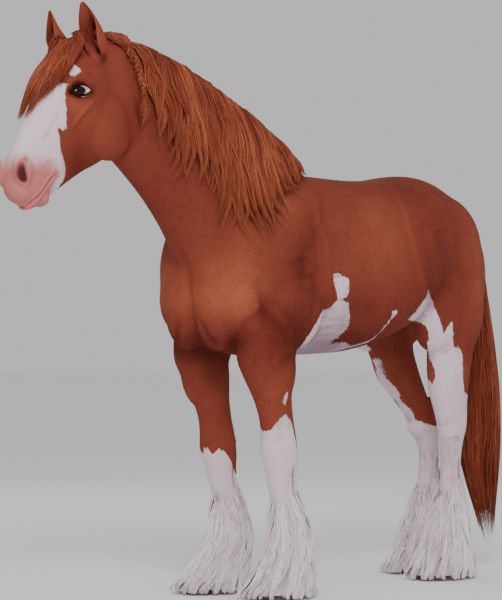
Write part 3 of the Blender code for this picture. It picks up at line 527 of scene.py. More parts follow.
foreBell = [
    (0.515, -0.030, 0.096, 0.054),
    (0.400, -0.014, 0.130, 0.064),
    (0.310, -0.006, 0.170, 0.074),
    (0.240, -0.012, 0.188, 0.086),
    (0.180, -0.032, 0.192, 0.098),
    (0.120, -0.068, 0.186, 0.113),
    (0.060, -0.116, 0.182, 0.128),
    (0.024, -0.158, 0.180, 0.134),
]
hindBell = [
    (0.515, -0.050, 0.050, 0.040),
    (0.400, -0.076, 0.068, 0.052),
    (0.310, -0.100, 0.080, 0.066),
    (0.240, -0.130, 0.082, 0.083),
    (0.170, -0.156, 0.086, 0.098),
    (0.110, -0.186, 0.092, 0.112),
    (0.060, -0.218, 0.098, 0.124),
    (0.024, -0.246, 0.100, 0.128),
]
offForeBack = [(0.06, -0.008), (0.26, 0.044), (0.40, 0.050), (0.54, 0.038), (0.70, 0.028), (1.00, 0.008)]
offHindBack = [
    (0.00, 0.185),
    (0.20, 0.200),
    (0.55, 0.220),
    (0.73, 0.176),
    (0.84, 0.128),
    (0.97, 0.068),
    (1.08, 0.020),
    (1.20, 0.0),
]


class Leg:
    def __init__(self, name, slices, bell, x, side, halfApart, topY, back=((0.0, 0.0),)):
        self.name = name
        self.slices = slices
        self.bell = bell
        self.x = x
        self.side = side
        self.halfApart = halfApart
        self.topY = topY
        self.back = back
        self.place = name.replace("leg", "")

    def lean(self, z):
        # how far the leg stands back at a height
        return readAt(self.back, z)

    def y(self, z):
        return self.side * mixed(self.halfApart, self.topY, eased(z, 0.5, 1.15))

    def slice(self, z, front, back, half):
        shift = self.x + self.lean(z)
        return levelRing(shift + front, shift + back, self.y(z), half, z)

    def middleX(self, z):
        return self.x + self.lean(z) + (readAt(self.slices, z, 1) + readAt(self.slices, z, 2)) / 2


legs = [
    Leg("foreleg_left", foreSlices, foreBell, 0.0, -1, 0.19, 0.185),
    Leg("foreleg_right", foreSlices, foreBell, 0.0, 1, 0.19, 0.185, offForeBack),
    Leg("hindleg_left", hindSlices, hindBell, 1.25, -1, 0.148, 0.195),
    Leg("hindleg_right", hindSlices, hindBell, 1.25, 1, 0.148, 0.195, offHindBack),
]


# Swellings that melt into the flesh: x, y, z, the three radii, pitch and yaw.
bodySwells = [
    (0.010, 0.175, 1.470, (0.340, 0.105, 0.165), -0.80, 0.10),
    (-0.190, 0.168, 1.260, (0.112, 0.098, 0.165)),
    (0.075, 0.205, 1.235, (0.190, 0.095, 0.195)),
    (-0.250, 0.085, 1.235, (0.098, 0.105, 0.200)),
    (-0.045, 0.185, 1.075, (0.150, 0.108, 0.165)),
    (0.260, 0.0, 1.730, (0.290, 0.070, 0.066), 0.16),
    (1.160, 0.165, 1.475, (0.240, 0.150, 0.268)),
    (1.075, 0.205, 1.295, (0.160, 0.115, 0.270), -0.12),
    (1.315, 0.135, 1.350, (0.150, 0.125, 0.290), 0.10),
    (1.065, 0.195, 1.150, (0.092, 0.090, 0.125)),
    (0.985, 0.225, 1.665, (0.110, 0.080, 0.075)),
]
headSwells = [
    (-0.860, 0.050, 1.962, (0.156, 0.054, 0.158)),
    (-1.045, 0.066, 2.085, (0.070, 0.036, 0.066), -0.9),
    (-1.040, 0.074, 1.985, (0.110, 0.022, 0.020), -0.95, 0.12),
    (-1.316, 0.040, 1.742, (0.046, 0.040, 0.068), -0.15),
    (-1.304, 0.0, 1.678, (0.052, 0.062, 0.066), -0.6),
    (-1.236, 0.0, 1.645, (0.060, 0.050, 0.036), -0.75),
    (-1.190, 0.0, 1.648, (0.046, 0.042, 0.038)),
    (-0.955, 0.0, 2.245, (0.080, 0.070, 0.052)),
    (-0.946, 0.064, 2.220, (0.044, 0.030, 0.044)),
]


def fleshHeap():
    heap = Heap()
    for rings in (trunkRings, neckRings, headRings):
        heap.rings([ringAcross(*row) for row in spread(rings)])
    for row in bodySwells:
        heap.swell(*row)
    for leg in legs:
        heap.rings([leg.slice(*row) for row in spread(leg.slices, 5)])
        if leg.slices is foreSlices:
            back = leg.lean(0.62)
            heap.egg(leg.x - 0.030, leg.y(0.97) + leg.side * 0.02, 0.970, (0.115, 0.080, 0.180))
            heap.egg(leg.x - 0.008 + back, leg.y(0.62), 0.630, (0.054, 0.074, 0.070))
            heap.egg(leg.x + 0.098 + back, leg.y(0.64), 0.645, (0.030, 0.030, 0.040))
        else:
            back = leg.lean(0.73)
            heap.egg(leg.x + 0.058 + back, leg.y(0.74), 0.750, (0.030, 0.030, 0.075), 0.12)
            heap.egg(leg.x - 0.015 + back, leg.y(0.69), 0.690, (0.074, 0.058, 0.075))
            heap.egg(leg.x - 0.065 + leg.lean(1.0), leg.y(1.00), 1.005, (0.115, 0.083, 0.180), -0.25)
    for row in headSwells:
        heap.swell(*row)
    return heap


# Skin: one melted surface, then muscle lines, eye openings, nostrils and mouth pressed into it.
skinSizes = {
    "voxel": 0.0055,
    "melt": 21,
    "calm": 46,
    "headMelt": 0.235,
    "triangles": 176000,
    "coatDepth": 0.0022,
}
# Half sizes of the eyeball, half the slit's length, and how far its two edges arch from its middle.
eyeSizes = {
    "long": 0.050,
    "high": 0.0265,
    "deep": 0.0305,
    "halfSlit": 0.0415,
    "upper": 0.0222,
    "lower": -0.0155,
}
nostrilSizes = {"x": -1.348, "y": 0.066, "z": 1.738, "across": 0.019, "tall": 0.041, "deep": 0.034}

mouthLine = [(-1.152, 1.742), (-1.182, 1.714), (-1.210, 1.682), (-1.240, 1.650), (-1.268, 1.626)]

# Lines pressed in (or raised, where the depth is negative): depth, width, sides and the way.
muscleLines = [
    (0.008, 0.034, 2, [(0.130, -0.262, 1.660), (0.151, -0.273, 1.578), (0.180, -0.271, 1.511),
                       (0.169, -0.285, 1.387), (0.146, -0.288, 1.268), (0.089, -0.287, 1.150)]),
    (-0.006, 0.020, 2, [(0.183, -0.257, 1.660), (0.205, -0.260, 1.571), (0.224, -0.277, 1.512),
                        (0.216, -0.290, 1.418)]),
    (0.009, 0.060, 2, [(0.085, -0.275, 1.450), (0.100, -0.280, 1.330)]),
    (0.011, 0.022, 1, [(-0.405, 0.0, 1.482), (-0.345, 0.0, 1.354), (-0.330, 0.0, 1.225),
                       (-0.300, 0.0, 1.10)]),
    (0.012, 0.019, 2, [(-0.337, -0.058, 1.179), (-0.320, -0.087, 1.108), (-0.283, -0.115, 1.062)]),
    (0.013, 0.028, 2, [(-0.189, -0.260, 1.324), (-0.136, -0.251, 1.216), (-0.221, -0.233, 1.150),
                       (-0.209, -0.160, 1.091)]),
    (0.011, 0.026, 2, [(-0.136, -0.251, 1.216), (-0.051, -0.287, 1.121), (-0.020, -0.270, 1.050)]),
    (-0.006, 0.024, 2, [(0.798, -0.150, 1.773), (0.750, -0.251, 1.706), (0.735, -0.308, 1.629),
                        (0.720, -0.337, 1.562), (0.731, -0.361, 1.461), (0.775, -0.360, 1.352),
                        (0.846, -0.332, 1.283)]),
    (0.007, 0.044, 2, [(0.840, -0.299, 1.653), (0.800, -0.357, 1.502), (0.867, -0.340, 1.314),
                       (0.983, -0.275, 1.173)]),
    (0.004, 0.045, 2, [(1.180, -0.300, 1.560), (1.235, -0.290, 1.400), (1.245, -0.275, 1.250)]),
    (0.006, 0.030, 2, [(-0.690, -0.100, 1.800), (-0.560, -0.130, 1.640), (-0.420, -0.165, 1.500),
                       (-0.330, -0.190, 1.390)]),
    (-0.0065, 0.012, 2, [(-0.964, -0.095, 2.051), (-1.014, -0.096, 2.012), (-1.053, -0.090, 1.975),
                         (-1.089, -0.082, 1.934)]),
    (0.0022, 0.018, 2, [(-0.975, -0.095, 2.010), (-1.030, -0.096, 1.965), (-1.080, -0.085, 1.905)]),
    (0.0040, 0.020, 2, [(-0.765, -0.106, 2.080), (-0.722, -0.105, 1.984), (-0.725, -0.088, 1.904),
                        (-0.757, -0.054, 1.838)]),
    (0.0040, 0.018, 2, [(-0.985, -0.085, 2.160), (-1.000, -0.085, 2.135)]),
    (0.0020, 0.014, 2, [(-1.140, -0.075, 2.010), (-1.190, -0.068, 1.930), (-1.235, -0.062, 1.850)]),
    (0.0020, 0.014, 2, [(-1.180, -0.060, 1.800), (-1.225, -0.060, 1.760), (-1.270, -0.060, 1.720)]),
]


def fromLine(points, line):
    # distance to a line of points, and how far along it, 0 to 1
    line = np.array(line, float)
    nearest = np.full(len(points), 9.0)
    share = np.zeros(len(points))
    for i in range(len(line) - 1):
        way = line[i + 1] - line[i]
        t = np.clip((points - line[i]) @ way / (way @ way), 0, 1)
        gap = np.linalg.norm(points - line[i] - t[:, None] * way, axis=1)
        closer = gap < nearest
        nearest = np.where(closer, gap, nearest)
        share = np.where(closer, (i + t) / (len(line) - 1), share)
    return nearest, share


def pressLines(points, normals):
    for depth, width, sides, line in muscleLines:
        for side in (1, -1)[:sides]:
            way = np.array(line, float) * (1, side, 1)
            low = way.min(0) - 3 * width
            high = way.max(0) + 3 * width
            near = np.all((points > low) & (points < high), axis=1)
            gap, share = fromLine(points[near], way)
            fade = eased(share, 0.0, 0.25) * eased(1 - share, 0.0, 0.25) * 0.7 + 0.3
            points[near] -= normals[near] * (depth * fade * np.exp(-((gap / width) ** 2)))[:, None]
    return points


tendonSizes = {"depth": 0.0075, "width": 0.014, "behind": 0.018, "top": 0.72}


def legTendons(points, normals):
    # the groove before the tendons of each cannon
    s = tendonSizes
    heights = np.linspace(0, s["top"], 73)
    for leg in legs:
        x, y, z = points.T
        near = (np.sign(y) == leg.side) & (z < s["top"]) & (np.abs(x - leg.x) < 0.5)
        near &= (x < 0.6) if leg.slices is foreSlices else (x > 0.6)
        x, z = x[near], z[near]
        gap = x - np.interp(z, heights, [leg.middleX(height) for height in heights]) - s["behind"]
        band = eased(z, 0.24, 0.34) * eased(-z, -0.58, -0.50)
        points[near] -= normals[near] * (s["depth"] * band * np.exp(-((gap / s["width"]) ** 2)))[:, None]
    return points


def eyeAxes(side):
    centre = np.array((eyeSpot.x, side * eyeSpot.y, eyeSpot.z))
    out = unit(np.array((-0.30, side * 0.95, 0.08)))
    slit = np.array((-0.95, -side * 0.30, -0.12))
    slit = unit(slit - out * (slit @ out))
    high = np.cross(out, slit)
    return centre, out, slit, high if high[2] > 0 else -high


def slitPlace(points, side):
    # place over the eye along the slit, up it and outwards, and distance outside the lids' rim
    centre, out, slit, high = eyeAxes(side)
    away = points - centre
    u, v, w = away @ slit, away @ high, away @ out
    s = eyeSizes
    arch = np.clip(1 - np.abs(u / s["halfSlit"]) ** 2.2, 0, 1)
    top = s["upper"] * arch
    low = s["lower"] * arch
    above = v > (top + low) / 2
    gap = np.where(above, v - top, low - v)
    beyond = np.abs(u) - s["halfSlit"]
    gap = np.where(beyond > 0, np.hypot(np.maximum(beyond, 0), v), gap)
    return u, v, w, gap, above, top, low


def openEyes(points):
    s = eyeSizes
    for side in (-1, 1):
        centre, out, slit, high = eyeAxes(side)
        near = np.linalg.norm(points - centre, axis=1) < 0.10
        index = np.nonzero(near)[0]
        u, v, w, gap, above, top, low = slitPlace(points[index], side)
        front = w > -0.012
        index, u, v, w, gap, above, top, low = (a[front] for a in (index, u, v, w, gap, above, top, low))
        snap = (np.abs(gap) < 0.0010) & (np.abs(u) < s["halfSlit"])
        v = np.where(snap, np.where(above, top, low), v)
        gap = np.where(snap, 0.0, gap)
        bare = 1 - (u / s["long"]) ** 2 - (v / s["high"]) ** 2
        ball = s["deep"] * np.sqrt(np.maximum(bare, 0.03))
        lid = ball + 0.0050 + 0.0020 * eased(gap, 0.0, 0.0035)
        crease = gap - np.where(above, 0.0105, 0.0085)
        fold = np.where(above, 0.0030, 0.0018) * np.exp(-((crease / 0.0028) ** 2))
        lid += np.where(above, 0.0022, 0.0012) * np.exp(-(((gap - 0.0055) / 0.0030) ** 2)) - fold
        outside = mixed(lid, w, eased(gap, 0.008, 0.034))
        inside = ball - 0.0045
        w = np.where(gap >= 0, outside, inside)
        points[index] = centre + u[:, None] * slit + v[:, None] * high + w[:, None] * out
    return points


def nostrilAxes(side):
    s = nostrilSizes
    centre = np.array((s["x"], side * s["y"], s["z"]))
    out = unit(np.array((-0.72, side * 0.66, 0.10)))
    up = np.array((-0.20, 0.0, 1.0))
    up = unit(up - out * (up @ out))
    return centre, out, np.cross(up, out) * side, up


def nostrilReach(points, side):
    # 1 on the nostril's rim, less inside; the opening bends back at its top like a comma
    s = nostrilSizes
    centre, out, across, up = nostrilAxes(side)
    away = points - centre
    a, b, w = away @ across, away @ up, away @ out
    bend = 0.010 * (b / s["tall"]) ** 2
    wide = s["across"] * (1 + 0.25 * np.clip(-b / s["tall"], -1, 1))
    return np.hypot((a + bend) / wide, b / s["tall"]), w, b


def openNostrils(points):
    s = nostrilSizes
    for side in (-1, 1):
        centre, out, _, _ = nostrilAxes(side)
        near = (np.linalg.norm(points - centre, axis=1) < 0.085) & (points[:, 1] * side > -0.004)
        index = np.nonzero(near)[0]
        reach, w, b = nostrilReach(points[index], side)
        front = w > -0.035
        index, reach, b = index[front], reach[front], b[front]
        move = -s["deep"] * eased(1.04 - reach, 0.0, 0.50)
        move += 0.0060 * np.exp(-(((reach - 1.22) / 0.20) ** 2))
        move -= 0.0030 * np.exp(-(((reach - 1.85) / 0.22) ** 2)) * eased(b, -0.02, 0.03)
        points[index] += move[:, None] * out
    return points


def pressMouth(points, normals, tree):
    line = []
    for x, z in mouthLine:
        spot, _, _, _ = tree.ray_cast(Vector((x, -1, z)), Vector((0, 1, 0)))
        line.append(tuple(spot))
    front, _, _, _ = tree.find_nearest(Vector((-1.300, 0, 1.590)))
    whole = line + [tuple(front)] + [(x, -y, z) for x, y, z in reversed(line)]
    near = np.linalg.norm(points - (-1.24, 0, 1.66), axis=1) < 0.16
    gap, share = fromLine(points[near], whole)
    ends = eased(np.minimum(share, 1 - share), 0.0, 0.05)
    move = 0.0042 * np.exp(-(((gap - 0.012) / 0.007) ** 2)) - 0.0085 * np.exp(-((gap / 0.0034) ** 2))
    points[near] += normals[near] * (move * ends)[:, None]
    return points, whole


def pointsOf(mesh):
    points = np.empty(len(mesh.vertices) * 3)
    mesh.vertices.foreach_get("co", points)
    return points.reshape(-1, 3)


def normalsOf(mesh):
    normals = np.empty(len(mesh.vertices) * 3, np.float32)
    mesh.vertex_normals.foreach_get("vector", normals)
    return normals.reshape(-1, 3).astype(float)


def edgesOf(mesh):
    edges = np.empty(len(mesh.edges) * 2, np.int32)
    mesh.edges.foreach_get("vertices", edges)
    return edges.reshape(-1, 2)


def trianglesOf(mesh):
    mesh.calc_loop_triangles()
    corners = np.empty(len(mesh.loop_triangles) * 3, np.int32)
    mesh.loop_triangles.foreach_get("vertices", corners)
    return corners.reshape(-1, 3)


def setPoints(mesh, points):
    mesh.vertices.foreach_set("co", points.ravel())
    mesh.update()


def give(mesh, name, values):
    # an attribute of one number or three for each point
    values = np.asarray(values, np.float32)
    kind, field = ("FLOAT", "value") if values.ndim == 1 else ("FLOAT_VECTOR", "vector")
    mesh.attributes.new(name, kind, "POINT").data.foreach_set(field, values.ravel())


def threesOf(mesh, name):
    values = np.empty(len(mesh.vertices) * 3, np.float32)
    mesh.attributes[name].data.foreach_get("vector", values)
    return values.reshape(-1, 3)


def giveMap(mesh, uv):
    # the bake map, from a place for each point
    loops = np.empty(len(mesh.loops), np.int32)
    mesh.loops.foreach_get("vertex_index", loops)
    layer = mesh.attributes.new("OFBake", "FLOAT2", "CORNER")
    layer.data.foreach_set("vector", uv[loops].astype(np.float32).ravel())


def relaxed(points, edges, passes, share):
    # draws every point towards the middle of its neighbours
    a, b = edges.T
    count = len(points)
    links = np.maximum(np.bincount(edges.ravel(), minlength=count), 1)[:, None]
    for _ in range(passes):
        sums = [np.bincount(a, points[b, k], count) + np.bincount(b, points[a, k], count) for k in range(3)]
        points = points + share * (np.stack(sums, axis=1) / links - points)
    return points


def refine(mesh, wanted):
    # splits every face whose corners are all wanted into four
    flags = wanted.tolist()

    def split(bm):
        faces = [face for face in bm.faces if all(flags[vert.index] for vert in face.verts)]
        edges = dict.fromkeys(edge for face in faces for edge in face.edges)  # once each, in a steady order
        bmesh.ops.subdivide_edges(bm, edges=list(edges), cuts=1, use_grid_fill=True)

    reworked(mesh, split)


def treeOf(mesh):
    return BVHTree.FromPolygons(pointsOf(mesh).tolist(), trianglesOf(mesh).tolist())


def faceZone(points):
    # the face, from the eyes forward
    return (points[:, 0] < -0.985) & (points[:, 2] > 1.5)


def fineZone(points):
    # close round the eyes and the nostrils
    eye = np.linalg.norm(np.abs(points) - (-eyeSpot.x, eyeSpot.y, eyeSpot.z), axis=1) < 0.060
    n = nostrilSizes
    nose = np.linalg.norm(np.abs(points) - (-n["x"], n["y"], n["z"]), axis=1) < 0.056
    return (eye | nose) & (points[:, 0] < -0.9)


def calmZone(points):
    # broad muscles whose forms run softly into each other
    x, y, z = points.T
    rear = eased(x, 0.86, 1.02) * eased(z, 1.12, 1.26)
    chest = eased(-x, 0.08, 0.20) * eased(z, 0.98, 1.08) * eased(-z, -1.44, -1.32)
    return np.maximum(rear, chest * 0.8)


def meltFlesh(obj):
    # one closed surface over all the swellings, evened until they run into each other
    melt = obj.modifiers.new("melt", "REMESH")
    melt.mode = "VOXEL"
    melt.voxel_size = skinSizes["voxel"]
    mesh = baked(obj).data
    points = pointsOf(mesh)
    onHead = eased(-points[:, 0], 0.60, 0.78) * (points[:, 2] > 1.5)
    share = 0.5 * mixed(1.0, skinSizes["headMelt"], onHead)[:, None]
    points = relaxed(points, edgesOf(mesh), skinSizes["melt"], share)
    setPoints(mesh, relaxed(points, edgesOf(mesh), skinSizes["calm"], 0.8 * calmZone(points)[:, None]))
    print("flesh melted", len(points), "points")


def thinSkin(obj):
    # fewer triangles, except close round the eyes and the nostrils
    keep = fineZone(pointsOf(obj.data))
    group = obj.vertex_groups.new(name="thin")
    group.add(np.nonzero(~keep)[0].tolist(), 1.0, "REPLACE")
    group.add(np.nonzero(keep)[0].tolist(), 0.0, "REPLACE")
    thin = obj.modifiers.new("thin", "DECIMATE")
    thin.vertex_group = "thin"
    thin.ratio = skinSizes["triangles"] / len(trianglesOf(obj.data))
    baked(obj)


def fleshSkin():
    obj = linked("skin", fleshHeap().mesh("skin"))
    meltFlesh(obj)
    mesh = obj.data
    points = pressLines(pointsOf(mesh), normalsOf(mesh))
    setPoints(mesh, legTendons(points, normalsOf(mesh)))
    for zone in (faceZone, fineZone):
        refine(mesh, zone(pointsOf(mesh)))
        points = pointsOf(mesh)
        setPoints(mesh, relaxed(points, edgesOf(mesh), 2, 0.4 * zone(points)[:, None]))
    points, mouth = pressMouth(pointsOf(mesh), normalsOf(mesh), treeOf(mesh))
    setPoints(mesh, openNostrils(openEyes(points)))
    print("face opened", len(points), "points")
    thinSkin(obj)
    mesh = obj.data
    setPoints(mesh, pointsOf(mesh) - normalsOf(mesh) * skinSizes["coatDepth"])
    return obj, mouth


earSizes = {"length": 0.214, "offShare": 0.92, "half": 0.049, "wall": 0.0058, "stations": 40, "arc": 15}
earBase = np.array((-0.955, 0.088, 2.250))


def earAxes(side):
    facing = np.array((-0.94, side * 0.32, 0))
    rise = unit(np.array((-0.52, 0.04 if side < 0 else 0.28, 1.0)))
    across = unit(np.cross(rise, facing))
    return rise, across, unit(np.cross(across, rise))


def earRings(side):
    s = earSizes
    rise, across, facing = earAxes(side)
    length = s["length"] * (1.0 if side < 0 else s["offShare"])
    rings = []
    for t in np.linspace(0, 1, s["stations"]):
        half = s["half"] * math.sin(math.pi * (0.24 + 0.745 * t)) ** 0.68 * (1 - 0.12 * t) + 0.002
        depth = half * mixed(1.0, 0.55, t)
        centre = earBase * (1, side, 1) + rise * (length * t - 0.022)
        centre = centre + facing * (0.018 * math.sin(math.pi * t) - 0.022 * t * t)
        centre = centre - across * side * 0.007 * math.sin(math.pi * t)
        thick = min(s["wall"], half * 0.55) * mixed(1.0, 0.5, t)
        cup = mixed(0.25, 1.0, eased(t, 0.02, 0.22))
        wrap = mixed(2.55, 1.45, eased(t, 0.20, 1.0))
        angle = np.linspace(-wrap, wrap, s["arc"])[:, None]
        outer = centre + across * half * np.sin(angle) - facing * depth * np.cos(angle)
        inner = centre + across * (half - thick * 0.6) * 0.97 * np.sin(angle) + facing * 0.001
        inner = inner - facing * (depth - thick) * np.cos(angle) * cup + facing * depth * 0.5 * (1 - cup)
        edge = 0.0012 * facing
        rings.append(np.vstack([outer, outer[-1:] * 0.5 + inner[-1:] * 0.5 + edge, inner[::-1],
                                outer[:1] * 0.5 + inner[:1] * 0.5 + edge]))
    return rings


def earShade():
    # painted shade deep in the cup, beside the outer rim, in the order of the ears' points
    s = earSizes
    shade = []
    for side in (-1, 1):
        for t in np.linspace(0, 1, s["stations"]):
            swing = np.linspace(1, -1, s["arc"]) * -side
            deep = np.exp(-(((swing - 0.22) / 0.36) ** 2)) * eased(0.86 - t, 0.0, 0.35)
            shade.append(np.concatenate([np.zeros(s["arc"] + 1), deep * 0.95, [0.0]]))
    return np.concatenate(shade)


def addEars(obj):
    heap = Heap()
    for side in (-1, 1):
        heap.rings(earRings(side))
    ears = heap.mesh("ears")

    def add(bm):
        bm.from_mesh(ears)
        bmesh.ops.triangulate(bm, faces=[face for face in bm.faces if len(face.verts) > 4])

    reworked(obj.data, add)
    bpy.data.meshes.remove(ears)


# Markings: outlines seen from the side (x and height), white inside. The far side is a guess.
bellyPatch = [(0.231, 1.401), (0.268, 1.372), (0.336, 1.351), (0.347, 1.257), (0.408, 1.146), (0.399, 1.116),
              (0.369, 1.068), (0.450, 1.078), (0.513, 1.063), (0.500, 0.90), (0.080, 0.90), (0.106, 1.087),
              (0.151, 1.150), (0.207, 1.210), (0.272, 1.227), (0.291, 1.257), (0.268, 1.308)]
flankSpot = [(0.620, 1.233), (0.668, 1.207), (0.640, 1.168)]
flankThread = [(0.640, 0, 1.172), (0.626, 0, 1.120), (0.630, 0, 1.080), (0.542, 0, 1.054), (0.513, 0, 1.050)]
# The near hind leg's is drawn on a plane turned as in slanted().
nearHindWhite = [(0.727, 1.173), (0.763, 1.207), (0.794, 1.254), (0.815, 1.278), (0.819, 1.312),
                 (0.829, 1.282), (0.844, 1.262), (0.854, 1.223), (0.874, 1.191), (0.889, 1.144),
                 (0.898, 1.115), (0.919, 1.144), (0.939, 1.173), (0.943, 1.115), (0.950, 1.061),
                 (0.960, 1.039), (0.965, 1.064), (0.980, 1.038), (0.994, 1.014), (0.994, 0.958),
                 (0.998, 0.905), (1.009, 0.837), (1.242, 0.793), (1.242, -0.171), (0.615, -0.171),
                 (0.615, 0.905), (0.830, 0.914), (0.854, 0.887), (0.870, 0.916), (0.861, 0.955),
                 (0.848, 0.987), (0.837, 1.018), (0.828, 1.049), (0.828, 1.077), (0.834, 1.102),
                 (0.825, 1.133), (0.803, 1.158), (0.758, 1.169)]
offHindWhite = [(0.850, 1.000), (0.950, 1.120), (1.018, 1.059), (1.090, 1.020), (1.127, 0.989),
                (1.143, 0.952), (1.169, 0.906), (1.235, 0.840), (1.267, 0.793), (1.327, 0.745),
                (1.345, 0.708), (1.418, 0.684), (1.600, 0.660), (1.600, -0.2), (0.850, -0.2)]
# The top edge of the white on the fore legs.
nearForeTop = [(-0.10, 0.690), (-0.062, 0.706), (-0.042, 0.752), (-0.006, 0.776), (0.036, 0.742),
               (0.064, 0.632), (0.12, 0.615)]
offForeTop = [(-0.06, 0.630), (-0.026, 0.626), (-0.016, 0.592), (-0.003, 0.622), (0.041, 0.591),
              (0.109, 0.511), (0.16, 0.500)]
blazeEdge = [(-1.220, 2.190), (-1.150, 2.112), (-1.107, 2.096), (-1.124, 2.066), (-1.123, 2.038),
             (-1.124, 2.018), (-1.118, 1.975), (-1.117, 1.905), (-1.128, 1.912), (-1.134, 1.923),
             (-1.159, 1.922), (-1.153, 1.903), (-1.137, 1.837), (-1.114, 1.799), (-1.095, 1.769),
             (-1.086, 1.730), (-1.104, 1.698), (-1.130, 1.50), (-1.60, 1.50), (-1.60, 2.190)]
star = [(-1.070, 2.192), (-1.028, 2.156), (-1.084, 2.128), (-1.100, 2.150)]


def inOutline(points, outline):
    # distance inside an outline seen from the side, negative outside
    x, z = points[:, 0], points[:, 2]
    rows = np.array(outline, float)
    gap = np.full(len(points), 9.0)
    inside = np.zeros(len(points), bool)
    for (x0, z0), (x1, z1) in zip(rows, np.roll(rows, -1, axis=0)):
        way = np.array((x1 - x0, z1 - z0))
        t = np.clip(((x - x0) * way[0] + (z - z0) * way[1]) / (way @ way), 0, 1)
        gap = np.minimum(gap, np.hypot(x - x0 - t * way[0], z - z0 - t * way[1]))
        crosses = (z0 > z) != (z1 > z)
        if z0 != z1:
            inside ^= crosses & (x < (x1 - x0) * (z - z0) / (z1 - z0) + x0)
    return np.where(inside, gap, -gap)


def slanted(points):
    # swaps x for the place across a plane that faces the near shoulder
    turned = points.copy()
    turned[:, 0] = 0.670 * points[:, 0] - 0.742 * points[:, 1]
    return turned


def whiteness(points):
    # distance inside the white of the coat, negative outside
    x, y, z = points.T
    near = y < np.where(x > 0.75, -0.05, 0.0)
    thread, _ = fromLine(points * (1, 0, 1), flankThread)
    hindSide = np.where(x > 0.70, inOutline(slanted(points), nearHindWhite), -1)
    nearSide = np.maximum.reduce(
        [inOutline(points, bellyPatch), inOutline(points, flankSpot), 0.006 - thread, hindSide]
    )
    offBelly = points * (0.9, 1, 1) + (-0.08, 0, 0.04)
    offSide = np.maximum(inOutline(offBelly, bellyPatch), inOutline(points, offHindWhite))
    body = np.where(near, nearSide, offSide)
    fore = np.where(near, readAt(nearForeTop, x), readAt(offForeTop, x)) - z
    spot = 0.012 * (1 - np.hypot((x + 0.015) / 0.013, (z - 0.843) / 0.028)) - np.where(near, 0, 1)
    fore = np.maximum(fore, spot)
    face = np.maximum(inOutline(points, blazeEdge), inOutline(points, star))
    front = np.maximum(fore * (z < 0.95) - (z >= 0.95), body)
    return np.clip(np.where(x > 0.2, body, np.where(x < -0.8, face, front)), -0.3, 0.3)


# Painted light and painted shade on the coat, lighter (or darker, below 0): x, height, reach along both, and
# how much.
paintedCoatShading = [
    (-0.27, 1.27, 0.13, 0.13, 0.58),
    (-0.13, 1.20, 0.05, 0.07, -0.50),
    (-0.12, 0.90, 0.14, 0.18, 0.10),
    (0.02, 1.66, 0.08, 0.09, 0.30),
    (0.60, 1.58, 0.19, 0.15, 0.38),
    (1.30, 1.36, 0.13, 0.18, 0.45),
    (-0.92, 1.96, 0.12, 0.12, 0.15),
    (-1.06, 2.02, 0.07, 0.06, 0.50),
    (1.15, 0.95, 0.20, 0.14, 0.40),
    (0.93, 1.40, 0.15, 0.26, -0.50),
    (0.08, 1.42, 0.11, 0.22, -0.60),
    (-0.04, 1.14, 0.17, 0.10, -0.65),
    (0.45, 1.22, 0.28, 0.12, -0.40),
    (-0.62, 1.95, 0.30, 0.18, -0.38),
    (-0.50, 1.66, 0.22, 0.17, -0.35),
    (-0.30, 1.08, 0.15, 0.09, -0.60),
    (-0.76, 1.96, 0.06, 0.14, -0.35),
    (-1.03, 1.79, 0.09, 0.09, -0.60),
    (0.95, 1.77, 0.30, 0.10, -0.30),
    (0.45, 1.02, 0.55, 0.10, -1.20),
]


def paintedShading(points):
    # sums the painted light and shade of these patches at each point
    x, z = points[:, 0], points[:, 2]
    total = np.zeros(len(points))
    for x0, z0, long, high, much in paintedCoatShading:
        total += much * np.exp(-(((x - x0) / long) ** 2) - ((z - z0) / high) ** 2)
    return np.clip(total, -1.2, 1.0)


def overShoulder(x, z):
    # height above the slope where the neck meets the trunk
    return z - (0.855 + (x + 1.5) * 0.5544)


def zonesOf(points, headStart, headEnd):
    # how much each place belongs to the head, a leg and the neck
    x, z = points[:, 0], points[:, 2]
    head = eased(-x, headStart, headEnd) * eased(z, 1.5, 1.6)
    leg = eased(-z, -1.16, -0.98) * (1 - head)
    neck = eased(overShoulder(x, z), -0.06, 0.12) * (1 - head) * (1 - leg)
    return head, leg, neck


